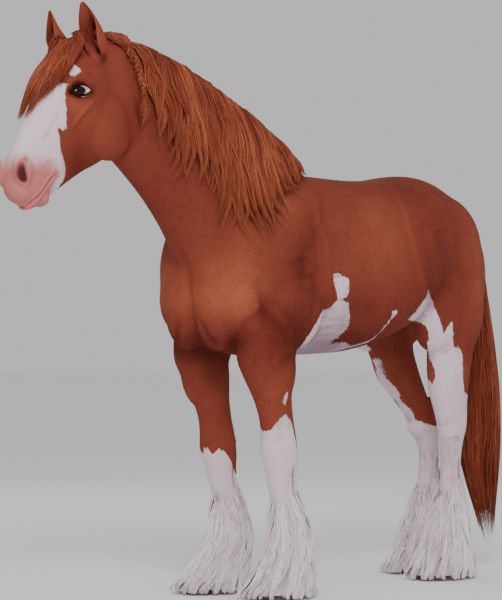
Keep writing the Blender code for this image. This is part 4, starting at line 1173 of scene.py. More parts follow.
def markFlesh(mesh, mouth):
    # tells the coat's finish, point by point, which colours are where, and where hollows take painted shade
    points = pointsOf(mesh)
    normals = normalsOf(mesh)
    x, y, z = points.T
    dark = np.zeros(len(points))
    pink = eased(-z, -1.880, -1.700) * eased(-x, 1.10, 1.20) * (x < -1.0)
    lips, _ = fromLine(points, mouth)
    pink = np.maximum(pink, 0.9 * np.exp(-((lips / 0.03) ** 2)) * (x < -1.0))
    for side in (-1, 1):
        reach, w, _ = nostrilReach(points, side)
        here = (np.abs(w) < 0.06) & (y * side > 0) & (x < -1.2)
        # painted shade inside the nostril's opening
        dark = np.maximum(dark, here * eased(0.98 - reach, 0.0, 0.45) * 0.86)
        pink = np.maximum(pink, here * np.exp(-(((reach - 1.2) / 0.6) ** 2)))
        _, _, w, gap, _, _, _ = slitPlace(points, side)
        gap = np.maximum(gap, 0)
        here = (w > -0.02) & (y * side > 0.02) & (x < -0.95) & (z > 1.95)
        lids = 0.92 * np.exp(-((gap / 0.0110) ** 2)) + 0.46 * np.exp(-((gap / 0.024) ** 2))
        dark = np.maximum(dark, here * np.minimum(0.95, lids))
    # painted shade along the mouth's crease
    dark = np.maximum(dark, 0.75 * np.exp(-((lips / 0.0030) ** 2)) * (x < -1.0))
    ears = earShade()
    dark[-len(ears):] = ears  # the ears' points come last
    # painted shade in hollows and painted light on ridges, from how far each point lies off its smoothed
    # neighbours
    soft = relaxed(points, edgesOf(mesh), 4, 0.5)
    hollowShade = np.clip(np.sum((soft - points) * normals, axis=1) / 0.0015, -1, 1)
    head, leg, neck = zonesOf(points, 0.66, 0.86)
    give(mesh, "mark", np.stack([whiteness(points), pink, dark], axis=1))
    give(mesh, "form", np.stack([hollowShade, head, leg], axis=1))
    give(mesh, "zone", np.stack([neck, paintedShading(points), np.zeros(len(points))], axis=1))
    return points, normals, dark


def lieOf(points, normals):
    # the way that the coat lies: back along the trunk, down the neck and legs, towards the muzzle
    head, leg, neck = (zone[:, None] for zone in zonesOf(points, 0.72, 0.90))
    way = np.array((0.95, 0, -0.25)) * (1 - head - leg - neck) + np.array((0.05, 0, -1.0)) * leg
    way = way + np.array((0.55, 0, -0.80)) * neck + np.array((-0.45, 0, -0.90)) * head
    way = way - normals * np.sum(way * normals, axis=1, keepdims=True)
    return unit(way)


def aroundTube(rise, run):
    # place round a tube, 0 to 1
    return np.arctan2(rise, run) / (2 * math.pi) + 0.5


def skinUv(points):
    # an unwrap of the skin: trunk, neck and head as tubes, and four legs as tubes above them
    x, y, z = points.T
    along = np.clip((x + 0.45) / 2.0, 0, 1)
    trunk = np.stack([0.02 + 0.46 * along, 0.02 + 0.50 * aroundTube(y, z - 1.42)], axis=1)
    along = np.clip(((x + 1.40) * 0.72 + (2.3 - z) * 0.2) / 1.3, 0, 1)
    middle = 2.10 - (x + 0.85) * 0.62
    neck = np.stack([0.52 + 0.46 * along, 0.02 + 0.28 * aroundTube(y, z - middle)], axis=1)
    along = np.clip((2.33 - z + (-0.85 - x) * 0.3) / 0.85, 0, 1)
    middle = -0.86 - (2.2 - z) * 0.62
    head = np.stack([0.52 + 0.46 * along, 0.32 + 0.22 * aroundTube(y, x - middle)], axis=1)
    uv = np.where((overShoulder(x, z) > 0)[:, None], neck, trunk)
    uv = np.where(((x < -0.78) & (z > 1.5))[:, None], head, uv)
    heights = np.linspace(0, 1.1, 23)
    for k, leg in enumerate(legs):
        mine = (z < 1.05) & (y * leg.side > 0) & (x < 1.50)
        mine &= (x < 0.45) if leg.slices is foreSlices else (x > 0.75)
        middle = np.interp(z, heights, [leg.middleX(height) for height in heights])
        turn = aroundTube(y - leg.side * leg.halfApart, x - middle)
        chart = np.stack([0.01 + 0.245 * k + 0.22 * turn, 0.58 + 0.40 * np.clip(z / 1.1, 0, 1)], axis=1)
        uv = np.where(mine[:, None], chart, uv)
    return np.clip(uv, 0.004, 0.996)


class Ground:
    # the skin that hair is laid on
    def __init__(self, mesh):
        self.tree = treeOf(mesh)

    def fromSide(self, x, z):
        # the near side's skin at a place seen from that side
        spot, normal, _, _ = self.tree.ray_cast(Vector((x, -1.0, z)), Vector((0, 1, 0)))
        if spot is None:
            spot, normal, _, _ = self.tree.find_nearest(Vector((x, -0.05, z)))
        return np.array(spot), np.array(normal)

    def nearest(self, point):
        spot, normal, _, _ = self.tree.find_nearest(Vector(point))
        return np.array(spot), np.array(normal)


skin, mouth = fleshSkin()
addEars(skin)
skinPoints, skinNormals, skinDark = markFlesh(skin.data, mouth)
skin.data.materials.clear()
skin.data.materials.append(chestnutCoat)
skin.data.shade_smooth()
ground = Ground(skin.data)
skinFaces = trianglesOf(skin.data)
print("skin ready", len(skinFaces), "triangles")


# Hair: strands are runs of points that one tree turns into tapered solid hairs.

def newTree(name, inputs):
    tree = bpy.data.node_groups.new(name, "GeometryNodeTree")
    face = tree.interface
    face.new_socket("Geometry", in_out="INPUT", socket_type="NodeSocketGeometry")
    for label, kind, value in inputs:
        socket = face.new_socket(label, in_out="INPUT", socket_type=kind)
        if value is not None:
            socket.default_value = value
    face.new_socket("Geometry", in_out="OUTPUT", socket_type="NodeSocketGeometry")
    return tree, tree.nodes.new("NodeGroupInput"), tree.nodes.new("NodeGroupOutput")


def treeNode(tree, kind, settings=None, sockets=None):
    made = tree.nodes.new(kind)
    for key, value in (settings or {}).items():
        setattr(made, key, value)
    for key, value in (sockets or {}).items():
        if isinstance(value, bpy.types.NodeSocket):
            tree.links.new(value, made.inputs[key])
        else:
            made.inputs[key].default_value = value
    return made


def namedNode(tree, name, kind="FLOAT_VECTOR"):
    return treeNode(tree, "GeometryNodeInputNamedAttribute", {"data_type": kind}, {"Name": name})


def endTree(tree, out, geometry, material):
    smooth = treeNode(tree, "GeometryNodeSetShadeSmooth", None, {"Geometry": geometry})
    whole = treeNode(tree, "GeometryNodeRealizeInstances", None, {"Geometry": smooth.outputs[0]})
    sockets = {"Geometry": whole.outputs[0], "Material": material}
    coated = treeNode(tree, "GeometryNodeSetMaterial", None, sockets)
    tree.links.new(coated.outputs[0], out.inputs[0])
    return tree


def strandTree():
    inputs = [
        ("Sides", "NodeSocketInt", 3),
        ("Thickness", "NodeSocketFloat", 1.0),
        ("Finish", "NodeSocketMaterial", None),
    ]
    tree, into, out = newTree("strands", inputs)
    curve = treeNode(tree, "GeometryNodeMeshToCurve", None, {"Mesh": into.outputs["Geometry"]})
    girth = namedNode(tree, "girth", "FLOAT")
    factors = {0: girth.outputs[0], 1: into.outputs["Thickness"]}
    size = treeNode(tree, "ShaderNodeMath", {"operation": "MULTIPLY"}, factors)
    profile = {"Resolution": into.outputs["Sides"], "Radius": 1.0}
    ring = treeNode(tree, "GeometryNodeCurvePrimitiveCircle", None, profile)
    swept = {"Curve": curve.outputs[0], "Profile Curve": ring.outputs[0], "Scale": size.outputs[0]}
    hair = treeNode(tree, "GeometryNodeCurveToMesh", None, {**swept, "Fill Caps": True})
    return endTree(tree, out, hair.outputs[0], into.outputs["Finish"])


def tuftTree():
    inputs = [
        ("Length", "NodeSocketFloat", 0.02),
        ("Width", "NodeSocketFloat", 0.002),
        ("Thinness", "NodeSocketFloat", 0.4),
        ("Lift", "NodeSocketFloat", 0.1),
        ("Finish", "NodeSocketMaterial", None),
    ]
    tree, into, out = newTree("tufts", inputs)
    shape = {"Vertices": 3, "Side Segments": 2, "Radius Top": 0.0, "Radius Bottom": into.outputs["Width"],
             "Depth": into.outputs["Length"]}
    blade = treeNode(tree, "GeometryNodeMeshCone", {"fill_type": "NGON"}, shape)
    squash = treeNode(tree, "ShaderNodeCombineXYZ", None, {0: 1.0, 1: into.outputs["Thinness"], 2: 1.0})
    squashed = {"Geometry": blade.outputs[0], "Scale": squash.outputs[0]}
    flat = treeNode(tree, "GeometryNodeTransform", None, squashed)
    lie = namedNode(tree, "lie")
    facing = namedNode(tree, "facing")
    size = namedNode(tree, "size", "FLOAT")
    raised = {0: facing.outputs[0], "Scale": into.outputs["Lift"]}
    lifted = treeNode(tree, "ShaderNodeVectorMath", {"operation": "SCALE"}, raised)
    tilted = {0: lie.outputs[0], 1: lifted.outputs[0]}
    way = treeNode(tree, "ShaderNodeVectorMath", {"operation": "ADD"}, tilted)
    turned = treeNode(tree, "FunctionNodeAlignRotationToVector", {"axis": "Z"}, {"Vector": way.outputs[0]})
    laid = treeNode(tree, "FunctionNodeAlignRotationToVector", {"axis": "Y", "pivot_axis": "Z"},
                    {"Rotation": turned.outputs[0], "Vector": facing.outputs[0]})
    sockets = {"Points": into.outputs["Geometry"], "Instance": flat.outputs[0], "Rotation": laid.outputs[0],
               "Scale": size.outputs[0]}
    tufts = treeNode(tree, "GeometryNodeInstanceOnPoints", None, sockets)
    return endTree(tree, out, tufts.outputs[0], into.outputs["Finish"])


def grow(obj, tree, values):
    # runs a tree on an object and keeps the result as a plain mesh
    step = obj.modifiers.new("grow", "NODES")
    step.node_group = tree
    for item in tree.interface.items_tree:
        if item.name in values:
            step[item.identifier] = values[item.name]
    return baked(obj)


def giveBakeMap(mesh, corners):
    # each hair is a small patch at its root's place on the skin's unwrap
    root = threesOf(mesh, "rootUv")[:, :2]
    index = np.arange(len(root))
    patch = np.stack([(index % corners) / corners, (index // corners % 5) / 5], axis=1) - 0.5
    giveMap(mesh, root + 0.003 * patch)
    for name in ("rootUv", "girth", "lie", "facing", "size"):
        if name in mesh.attributes:
            mesh.attributes.remove(mesh.attributes[name])


growStrands = strandTree()
growTufts = tuftTree()


class Hair:
    # gathers strands of equal point count, and grows them as one piece
    def __init__(self, seed):
        self.draw = np.random.default_rng(seed)
        self.ways = []
        self.girths = []
        self.tones = []

    def lock(self, path, outs, width, depth, count, girth, root=0.7, tip=0.12, wave=0.003, short=0.78,
             tone=0.5, blunt=0.08, late=0.0):
        # strands along a path: root and tip are shares of the width, short and late of the length
        draw = self.draw
        path = np.array(path)
        outs = np.array(outs)
        n = len(path)
        t = np.linspace(0, 1, n)
        ahead = unit(np.gradient(path, axis=0))
        across = unit(np.cross(ahead, outs))
        lift = unit(np.cross(across, ahead))
        a = draw.uniform(-1, 1, count)
        b = draw.uniform(0, 1, count)
        reach = draw.uniform(short, 1.0, count)
        phase = draw.uniform(0, 2 * math.pi, count)
        turns = draw.uniform(0.6, 1.8, count)
        begin = draw.uniform(0, 1, count)[:, None] * late
        at = begin + t[None, :] * (reach[:, None] - begin)
        spots = at * (n - 1)
        low = np.minimum(spots.astype(int), n - 2)
        rest = (spots - low)[..., None]
        centre = mixed(path[low], path[low + 1], rest)
        sideways = mixed(across[low], across[low + 1], rest)
        upwards = mixed(lift[low], lift[low + 1], rest)
        gather = mixed(root, 1.0, eased(at, 0.0, 0.3)) * mixed(1.0, tip, eased(at, 0.45, 1.0))
        sway = wave * np.sin(turns[:, None] * 2 * math.pi * at + phase[:, None]) * eased(at, 0.0, 0.2)
        offset = (a[:, None] * width / 2 * gather + sway)[..., None]
        rounded = np.sqrt(np.maximum(1 - a ** 2, 0.05))
        height = ((b * rounded)[:, None] * depth * (0.3 + 0.7 * gather))[..., None]
        self.ways.append(centre + sideways * offset + upwards * height)
        taper = mixed(0.35, 1.0, eased(t, 0.0, 0.18)) * (1 - (1 - blunt) * eased(t, 0.60, 1.0))
        self.girths.append(girth * draw.uniform(0.75, 1.2, count)[:, None] * taper[None, :])
        # strands lying deeper in the lock get a darker tone, painted shade; the rest varies at random
        shade = tone + 0.30 * (b - 0.5) + draw.uniform(-0.22, 0.22, count)
        self.tones.append(np.repeat(shade[:, None], n, axis=1))

    def piece(self, name, finish, sides=3, core=None):
        ways = np.concatenate(self.ways)
        count, n, _ = ways.shape
        index = np.arange(count * n).reshape(count, n)
        edges = np.stack([index[:, :-1].ravel(), index[:, 1:].ravel()], axis=1)
        mesh = bpy.data.meshes.new(name)
        mesh.from_pydata(ways.reshape(-1, 3).tolist(), edges.tolist(), [])
        give(mesh, "girth", np.concatenate(self.girths).ravel())
        give(mesh, "tone", np.concatenate(self.tones).ravel())
        give(mesh, "along", np.tile(np.linspace(0, 1, n), count))
        give(mesh, "rootUv", np.repeat(np.pad(skinUv(ways[:, 0]), ((0, 0), (0, 1))), n, axis=0))
        obj = grow(linked(name, mesh), growStrands, {"Sides": sides, "Thickness": 1.0, "Finish": finish})
        giveBakeMap(obj.data, sides)
        if core is not None:
            addCore(obj, core)
        return obj


def addCore(obj, core):
    # joins the plain body of hair under the strands to them
    points = pointsOf(core)
    # the core's dark tone is painted shade for hair lying under the strands
    give(core, "tone", np.full(len(points), 0.18))
    give(core, "along", np.full(len(points), 0.2))
    giveMap(core, skinUv(points))
    core.materials.append(obj.data.materials[0])
    core.shade_smooth()
    reworked(obj.data, lambda bm: bm.from_mesh(core))
    bpy.data.meshes.remove(core)


# The crest that the mane grows from, and how low its locks hang: x and height.
crestLine = [(-0.84, 2.311), (-0.64, 2.294), (-0.45, 2.246), (-0.25, 2.168), (-0.04, 2.060), (0.16, 1.928),
             (0.30, 1.836)]
maneTips = [(-0.70, 1.990), (-0.667, 1.950), (-0.557, 1.785), (-0.457, 1.770), (-0.387, 1.705),
            (-0.332, 1.585), (-0.222, 1.510), (-0.127, 1.560), (-0.017, 1.665), (0.053, 1.730),
            (0.113, 1.765), (0.25, 1.800)]
maneSizes = {
    "locks": 92,
    "strands": 28,
    "points": 13,
    "girth": 0.0021,
    "width": 0.052,
    "depth": 0.016,
    "wave": 0.024,
    "from": -0.690,
    "to": 0.235,
    "lifts": (0.010, 0.019, 0.028),
}


def makeMane():
    s = maneSizes
    hair = Hair(3)
    draw = hair.draw
    for i in range(s["locks"]):
        layer = i % 3
        x0 = mixed(s["from"], s["to"], (i + draw.uniform(-0.6, 0.6)) / (s["locks"] - 1))
        top = readAt(crestLine, x0)
        tip = readAt(maneTips, x0) + draw.uniform(-0.060, 0.020) + 0.025 * (layer == 2)
        sweep = draw.uniform(0.015, 0.060)
        wave = s["wave"] * draw.uniform(0.6, 1.2)
        phase = draw.uniform(0, 2 * math.pi)
        lift = s["lifts"][layer]
        path = [(x0 - 0.004, 0.012, top - 0.018), (x0, -0.006, top - 0.004)]
        outs = [(0, 0, 1), (0, -0.4, 1)]
        for k in range(2, s["points"]):
            t = (k - 1) / (s["points"] - 2)
            swing = math.sin(phase + 8.0 * t) + 0.5 * t * math.sin(phase + 21.0 * t)
            x = x0 + sweep * t + wave * swing * eased(t, 0.05, 0.5)
            z = mixed(top - 0.012, tip, t ** 1.1)
            spot, normal = ground.fromSide(x, z)
            out = unit(normal + (0, -0.6, 0))
            path.append(spot + out * (lift * eased(t, -0.1, 0.15) + 0.010 * t))
            outs.append(out)
        width = s["width"] * draw.uniform(0.75, 1.15)
        hair.lock(path, outs, width, s["depth"], s["strands"], s["girth"], short=0.90,
                  tone=draw.uniform(0.30, 0.70))
    return settled(hair.piece("mane", maneHair), "mane_hair")


# The forelock's way down the forehead, and the plait's down the neck: x and height.
foreLine = [(-0.925, 2.295), (-1.050, 2.235), (-1.138, 2.150), (-1.200, 2.070), (-1.250, 1.980),
            (-1.290, 1.915)]
foreSizes = {
    "locks": 48,
    "strands": 25,
    "points": 12,
    "girth": 0.0019,
    "width": 0.040,
    "depth": 0.010,
    "wave": 0.008,
    "rootHalf": 0.026,
    "spreadHalf": 0.094,
}


def makeForelock():
    s = foreSizes
    hair = Hair(5)
    draw = hair.draw
    for i in range(s["locks"]):
        turn = mixed(-1.12, 1.1, (i + draw.uniform(-0.5, 0.5)) / (s["locks"] - 1))
        reach = mixed(2.65, 4.4, eased(turn, -1.1, 0.0)) + draw.uniform(-0.30, 0.12)
        phase = draw.uniform(0, 2 * math.pi)
        layer = i % 3
        path = []
        outs = []
        for k in range(s["points"]):
            t = k / (s["points"] - 1)
            at = reach * t
            low = min(int(at), 4)
            x = mixed(foreLine[low][0], foreLine[low + 1][0], at - low)
            z = mixed(foreLine[low][1], foreLine[low + 1][1], at - low)
            y = turn * (s["rootHalf"] + s["spreadHalf"] * eased(t, 0.0, 0.9))
            y = y + s["wave"] * math.sin(phase + 8 * t) * eased(t, 0.1, 0.5)
            spot, normal = ground.nearest((x - 0.05, y * 1.3, z + 0.03))
            raised = mixed(-0.006, 0.006 + 0.007 * layer, eased(t, 0.0, 0.2))
            raised = raised + 0.014 * math.sin(math.pi * min(t * 1.1, 1))
            path.append(spot + normal * raised)
            outs.append(normal)
        hair.lock(path, outs, s["width"], s["depth"], s["strands"], s["girth"], root=0.55,
                  tone=draw.uniform(0.3, 0.7))
    return settled(hair.piece("forelock", maneHair), "mane_hair")


plaitSpine = [(-0.775, 2.285), (-0.772, 2.230), (-0.768, 2.185), (-0.762, 2.144), (-0.752, 2.100),
              (-0.745, 2.060)]
plaitSizes = {"strands": 13, "girth": 0.0018, "turns": 4.0, "across": 0.0125, "through": 0.0085}
plaitTuftSizes = {"endLocks": 5, "pollLocks": 16, "strands": 20, "girth": 0.0018}


def makePlait():
    s = plaitSizes
    hair = Hair(7)
    rows = spread(plaitSpine, 12)
    base = []
    outs = []
    for k, (x, z) in enumerate(rows):
        spot, normal = ground.fromSide(x, z)
        out = unit(normal * 0.4 + (0, -1, 0))
        base.append(spot + out * mixed(0.008, 0.036, eased(k / len(rows), 0.0, 0.35)))
        outs.append(out)
    base = np.array(base)
    outs = np.array(outs)
    across = unit(np.cross(unit(np.gradient(base, axis=0)), outs))
    t = np.linspace(0, 1, len(base))
    for k in range(3):
        angle = 2 * math.pi * (s["turns"] * t + k / 3)
        narrow = mixed(1.0, 0.75, t)[:, None]
        way = base + across * s["across"] * narrow * np.sin(angle)[:, None]
        way = way + outs * s["through"] * np.sin(2 * angle)[:, None]
        hair.lock(way, outs, 0.012, 0.010, s["strands"], s["girth"], root=1.0, tip=1.0, wave=0.0004,
                  short=0.985, tone=0.45 + 0.1 * k)
    return settled(hair.piece("plait", maneHair), "mane_hair")


def makePlaitTuft():
    # the plait's loose end, and the hair combed back over the poll into its root
    s = plaitTuftSizes
    tuft = Hair(8)
    for i in range(s["endLocks"]):
        path = []
        facing = []
        for t in np.linspace(0, 1, 12):
            x = mixed(-0.745, -0.738 + 0.010 * i, t)
            spot, normal = ground.fromSide(x, mixed(2.068, 1.935 + 0.012 * i, t))
            out = unit(normal * 0.4 + (0, -1, 0))
            path.append(spot + out * (mixed(0.032, 0.024, t) + 0.002 * math.sin(6 * t + i)))
            facing.append(out)
        tuft.lock(path, facing, 0.034, 0.014, s["strands"], s["girth"], root=0.3, tone=0.5)
    for i in range(s["pollLocks"]):
        path = []
        facing = []
        x0 = mixed(-0.865, -0.715, i / (s["pollLocks"] - 1))
        side = 0.022 - 0.05 * (i % 3)
        for t in np.linspace(0, 1, 12):
            x = mixed(x0, -0.773, t ** 1.3)
            spot, normal = ground.nearest((x, mixed(side, -0.075, t), mixed(2.35, 2.262, t)))
            out = unit(normal + (0, -0.3, 0.3))
            raised = 0.001 + 0.009 * math.sin(math.pi * min(1, 0.1 + t)) + 0.003 * (i % 3) * t
            path.append(spot + out * raised)
            facing.append(out)
        tuft.lock(path, facing, 0.030, 0.012, s["strands"], s["girth"], root=0.8, tip=0.4,
                  tone=tuft.draw.uniform(0.3, 0.65))
    return settled(tuft.piece("plaitTuft", maneHair), "mane_hair")


# The tail's middle line and girth: x, z, half depth and half width. The dock comes first.
tailLine = [
    (1.375, 1.648, 0.030, 0.030),
    (1.450, 1.650, 0.037, 0.037),
    (1.512, 1.622, 0.040, 0.040),
    (1.552, 1.556, 0.041, 0.042),
    (1.575, 1.455, 0.042, 0.046),
    (1.590, 1.330, 0.045, 0.054),
    (1.608, 1.200, 0.051, 0.064),
    (1.624, 1.060, 0.058, 0.076),
    (1.638, 0.880, 0.066, 0.086),
    (1.650, 0.700, 0.068, 0.088),
    (1.662, 0.540, 0.063, 0.080),
    (1.684, 0.400, 0.046, 0.058),
    (1.704, 0.280, 0.030, 0.038),
    (1.722, 0.180, 0.018, 0.022),
    (1.734, 0.100, 0.008, 0.010),
]
tailSizes = {"locks": 68, "strands": 29, "points": 17, "girth": 0.0023, "width": 0.050, "depth": 0.016}


def tailSpot(s, angle):
    # a place on the tail's outside, s stations from its root, and the way out of it
    columns = np.array(tailLine).T
    at = np.clip(s, 0, len(tailLine) - 1)

    def read(place):
        return [np.interp(place, np.arange(len(tailLine)), column) for column in columns]

    x, z, depth, width = read(at)
    before, after = read(at - 0.5), read(at + 0.5)
    ahead = unit(np.array((after[0] - before[0], 0.0, after[1] - before[1])))
    rise = np.array((-ahead[2], 0, ahead[0]))
    out = unit(rise * math.cos(angle) + np.array((0, 1, 0)) * math.sin(angle))
    spot = np.array((x, 0, z)) + rise * depth * math.cos(angle) + np.array((0, width, 0)) * math.sin(angle)
    return spot, out


def makeTail():
    s = tailSizes
    hair = Hair(11)
    draw = hair.draw
    last = len(tailLine) - 1
    for i in range(s["locks"]):
        angle = 2 * math.pi * 0.382 * i + draw.uniform(-0.2, 0.2)
        start = (0.4, 1.2, 2.2, 3.2, 4.6, 6.2)[i % 6] + draw.uniform(-0.3, 0.5)
        end = last - (0.2, 1.2, 2.3, 0.7)[i % 4] - draw.uniform(0.0, 0.8)
        phase = draw.uniform(0, 2 * math.pi)
        path = []
        outs = []
        for k in range(s["points"]):
            t = k / (s["points"] - 1)
            at = mixed(start, end, t)
            swing = 0.14 * math.sin(9 * t + phase) + 0.05 * math.sin(21 * t + phase)
            spot, out = tailSpot(at, angle + swing * eased(t, 0.05, 0.3))
            raised = mixed(-0.010, 0.004 + 0.008 * (i % 2), eased(t, 0.0, 0.15)) - 0.004 * t
            path.append(spot + out * raised)
            outs.append(out)
        hair.lock(path, outs, s["width"], s["depth"], s["strands"], s["girth"], wave=0.006,
                  tone=draw.uniform(0.18, 0.62))
    piece = hair.piece("tailHair", maneHair, core=tailCore())
    return settled(piece, "mane_hair", "tail")


def tailCore():
    # the full body of hair under the tail's locks
    heap = Heap()
    around = np.linspace(0, 2 * math.pi, 28, endpoint=False)
    rings = []
    for at in np.linspace(0, len(tailLine) - 3.0, 60):
        ring = []
        for angle in around:
            spot, out = tailSpot(at, angle)
            ring.append(spot - out * min(0.012, 0.004 + 0.01 * at))
        rings.append(ring)
    heap.rings(rings)
    return heap.mesh("tailCore")


featherSizes = {
    "locks": 98,
    "strands": 29,
    "points": 11,
    "girth": 0.0018,
    "width": 0.043,
    "depth": 0.012,
    "floorGap": 0.003,
    "frontTop": 0.455,
    "rearTop": 0.540,
}
# How the strands end at the floor, and how they end above it.
floorEnd = {"tip": 0.45, "short": 0.96, "blunt": 0.3}
freeEnd = {"tip": 0.15, "short": 0.85}


def bellSpot(leg, z, angle, spreadOut):
    # a place on the skirt of hair where spreadOut is 1, or on the leg itself where it is 0
    front, back, half = (
        mixed(readAt(leg.slices, z, k), readAt(leg.bell, z, k), spreadOut) for k in (1, 2, 3)
    )
    centre = np.array((leg.x + leg.lean(z) + (front + back) / 2, leg.y(z), z))
    way = np.array((math.cos(angle) * (back - front) / 2, math.sin(angle) * half, 0))
    out = unit(np.array((math.cos(angle), math.sin(angle), 0.2)))
    return centre + way, out


def bellCore(leg, inset=0.010):
    # the full skirt of hair under the locks: down its outside and up its inside to the coronet
    rings = []
    for z, front, back, half in spread(leg.bell, 4):
        tuck = inset + 0.014 * eased(z, 0.33, 0.47)
        tuckBack = inset + 0.022 * eased(z, 0.36, 0.50)
        rings.append(leg.slice(z, front + tuck, back - tuckBack, half - tuck * 0.8))
    inner = []
    for z, more in ((0.022, 0.010), (0.060, 0.014)):
        front, back, half = (readAt(leg.bell, z, k) for k in (1, 2, 3))
        inner.append((z, front + inset + more, back - inset - more, half - inset - more))
    middle = leg.middleX(0.1) - leg.x - leg.lean(0.1)
    for z, wider in ((0.090, 0.004), (0.104, -0.006)):
        inner.append((z, middle + coronet[1] - wider, middle + coronet[2] + wider, coronet[3] + wider))
    heap = Heap()
    heap.rings(rings + [leg.slice(*row) for row in inner])
    return heap.mesh("bell")


def makeFeather(leg, seed):
    s = featherSizes
    hair = Hair(seed)
    draw = hair.draw
    for i in range(s["locks"]):
        angle = 2 * math.pi * 0.56984 * i + draw.uniform(-0.1, 0.1)
        rear = 0.5 + 0.5 * math.cos(angle)
        tallest = mixed(s["frontTop"], s["rearTop"], rear)
        start = mixed(0.13, tallest, (i * 0.75488 % 1) ** 0.8)
        end = max(s["floorGap"] + draw.uniform(0.0, 0.003), start - draw.uniform(0.22, 0.36))
        phase = draw.uniform(0, 2 * math.pi)
        path = []
        outs = []
        for k in range(s["points"]):
            t = k / (s["points"] - 1)
            z = mixed(start, end, t)
            spin = angle + 0.10 * math.sin(4.0 * t + phase) * eased(t, 0.1, 0.5)
            spot, out = bellSpot(leg, z, spin, eased(t, 0.05, mixed(0.40, 0.55, rear)))
            flick = 0.010 * eased(t, 0.7, 1.0) * (i % 4 == 0)
            raised = mixed(-0.016, -0.010 + 0.005 * (i % 3), eased(t, 0.0, 0.40)) + 0.008 * t + flick
            path.append(spot + out * raised)
            outs.append(out)
        ending = floorEnd if end < 0.02 else freeEnd
        hair.lock(path, outs, s["width"] * mixed(0.8, 1.1, rear), s["depth"], s["strands"], s["girth"],
                  root=0.35, wave=0.0030, late=0.22, tone=draw.uniform(0.40, 0.85), **ending)
    piece = hair.piece("feather_" + leg.place, featherHair, core=bellCore(leg))
    return settled(piece, "white_feather")


hoofShape = {"count": 56, "square": 0.95, "edge": 0.002, "sharp": 0.9}


def makeHoof(leg):
    s = hoofShape
    middle = leg.middleX(0.1)

    def ring(z, front, back, half, share=1.0):
        ends = middle + front * share, middle + back * share
        return levelRing(*ends, leg.y(0.1), half * share, z, s["count"], s["square"])

    rows = spread(hoofSlices + [coronet], 6)
    sole = [ring(*rows[0], share) for share in (0.3, 0.7, 0.97)]
    rows[0, 0] = s["edge"]  # the rim stands a little above the sole
    heap = Heap()
    heap.rings(sole + [ring(*row) for row in rows])
    node = "hoof_" + leg.place
    obj = linked("horn_" + leg.place, heap.mesh(node))
    obj.data.materials.append(hoofHorn)
    obj.data.shade_smooth()
    obj.data.set_sharp_from_angle(angle=s["sharp"])
    return settled(obj, "hoof_horn", node)


def makeEye(side):
    centre, out, slit, high = eyeAxes(side)
    s = eyeSizes
    mesh = bpy.data.meshes.new("eye")
    reworked(mesh, lambda bm: bmesh.ops.create_uvsphere(bm, u_segments=56, v_segments=36, radius=1.0))
    ball = pointsOf(mesh)
    u, v, w = ball[:, :1], ball[:, 1:2], ball[:, 2:]
    setPoints(mesh, centre + u * slit * s["long"] + v * high * s["high"] + w * out * s["deep"])
    give(mesh, "gaze", ball)
    reworked(mesh, facedOut)
    mesh.materials.append(wetEye)
    mesh.shade_smooth()
    node = "eye_left" if side < 0 else "eye_right"
    return settled(linked("ball_" + node, mesh), "eye", node)


lashSizes = {"locks": 15, "strands": 4, "points": 6, "girth": 0.0006, "length": 0.017}


def makeLashes():
    hair = Hair(13)
    s = eyeSizes
    for side in (-1, 1):
        centre, out, slit, high = eyeAxes(side)
        for i in range(lashSizes["locks"]):
            u = mixed(-0.72, 0.80, i / (lashSizes["locks"] - 1)) * s["halfSlit"]
            v = s["upper"] * (1 - abs(u / s["halfSlit"]) ** 2.2)
            ball = s["deep"] * math.sqrt(max(1 - (u / s["long"]) ** 2 - (v / s["high"]) ** 2, 0.03))
            root = centre + slit * u + high * v + out * (ball + 0.002)
            path = []
            for t in np.linspace(0, 1, lashSizes["points"]):
                bend = out * t + high * 0.55 * t * t - high * 0.25 * t
                path.append(root + (bend + slit * 0.3 * t) * lashSizes["length"])
            hair.lock(path, [high] * len(path), 0.004, 0.001, lashSizes["strands"], lashSizes["girth"],
                      tip=0.6, wave=0.0005, short=0.6, tone=0.3)
    return settled(hair.piece("lashes", lashHair), "mane_hair")


earHairSizes = {"locks": 34, "strands": 11, "points": 7, "girth": 0.0005, "width": 0.006, "depth": 0.002}


def makeEarHair():
    # the soft fringe inside and along the edges of both ears
    s = earHairSizes
    hair = Hair(17)
    draw = hair.draw
    for side in (-1, 1):
        rings = earRings(side)
        rise, across, facing = earAxes(side)
        arc = earSizes["arc"]
        for _ in range(s["locks"]):
            row = rings[int(mixed(3, 24, draw.uniform() ** 1.1))]
            edge = draw.integers(0, 2)
            k = arc + 1 + (draw.integers(0, 4) if edge else arc - 1 - draw.integers(0, 4))
            root = row[k]
            inwards = across * (-1 if (row[k] - row.mean(0)) @ across > 0 else 1)
            length = draw.uniform(0.015, 0.028)
            path = [root + (rise * 0.93 * t + inwards * 0.26 * t - facing * 0.08 * t) * length
                    for t in np.linspace(0, 1, s["points"])]
            hair.lock(path, [facing] * len(path), s["width"], s["depth"], s["strands"], s["girth"], root=1.0,
                      tip=0.8, wave=0.001, short=0.5, tone=draw.uniform(0.5, 0.8))
    return settled(hair.piece("earHair", maneHair), "mane_hair")


# Short coat: flat tufts that break the skin's outline.
tuftSizes = {
    "coatTufts": {
        "count": 17000,
        "length": 0.024,
        "width": 0.0010,
        "thinness": 0.40,
        "lift": 0.09,
        "sunk": 0.0006,
        "seed": 19,
    },
    "faceTufts": {
        "count": 6500,
        "length": 0.010,
        "width": 0.0006,
        "thinness": 0.45,
        "lift": 0.12,
        "sunk": 0.0006,
        "seed": 23,
    },
}


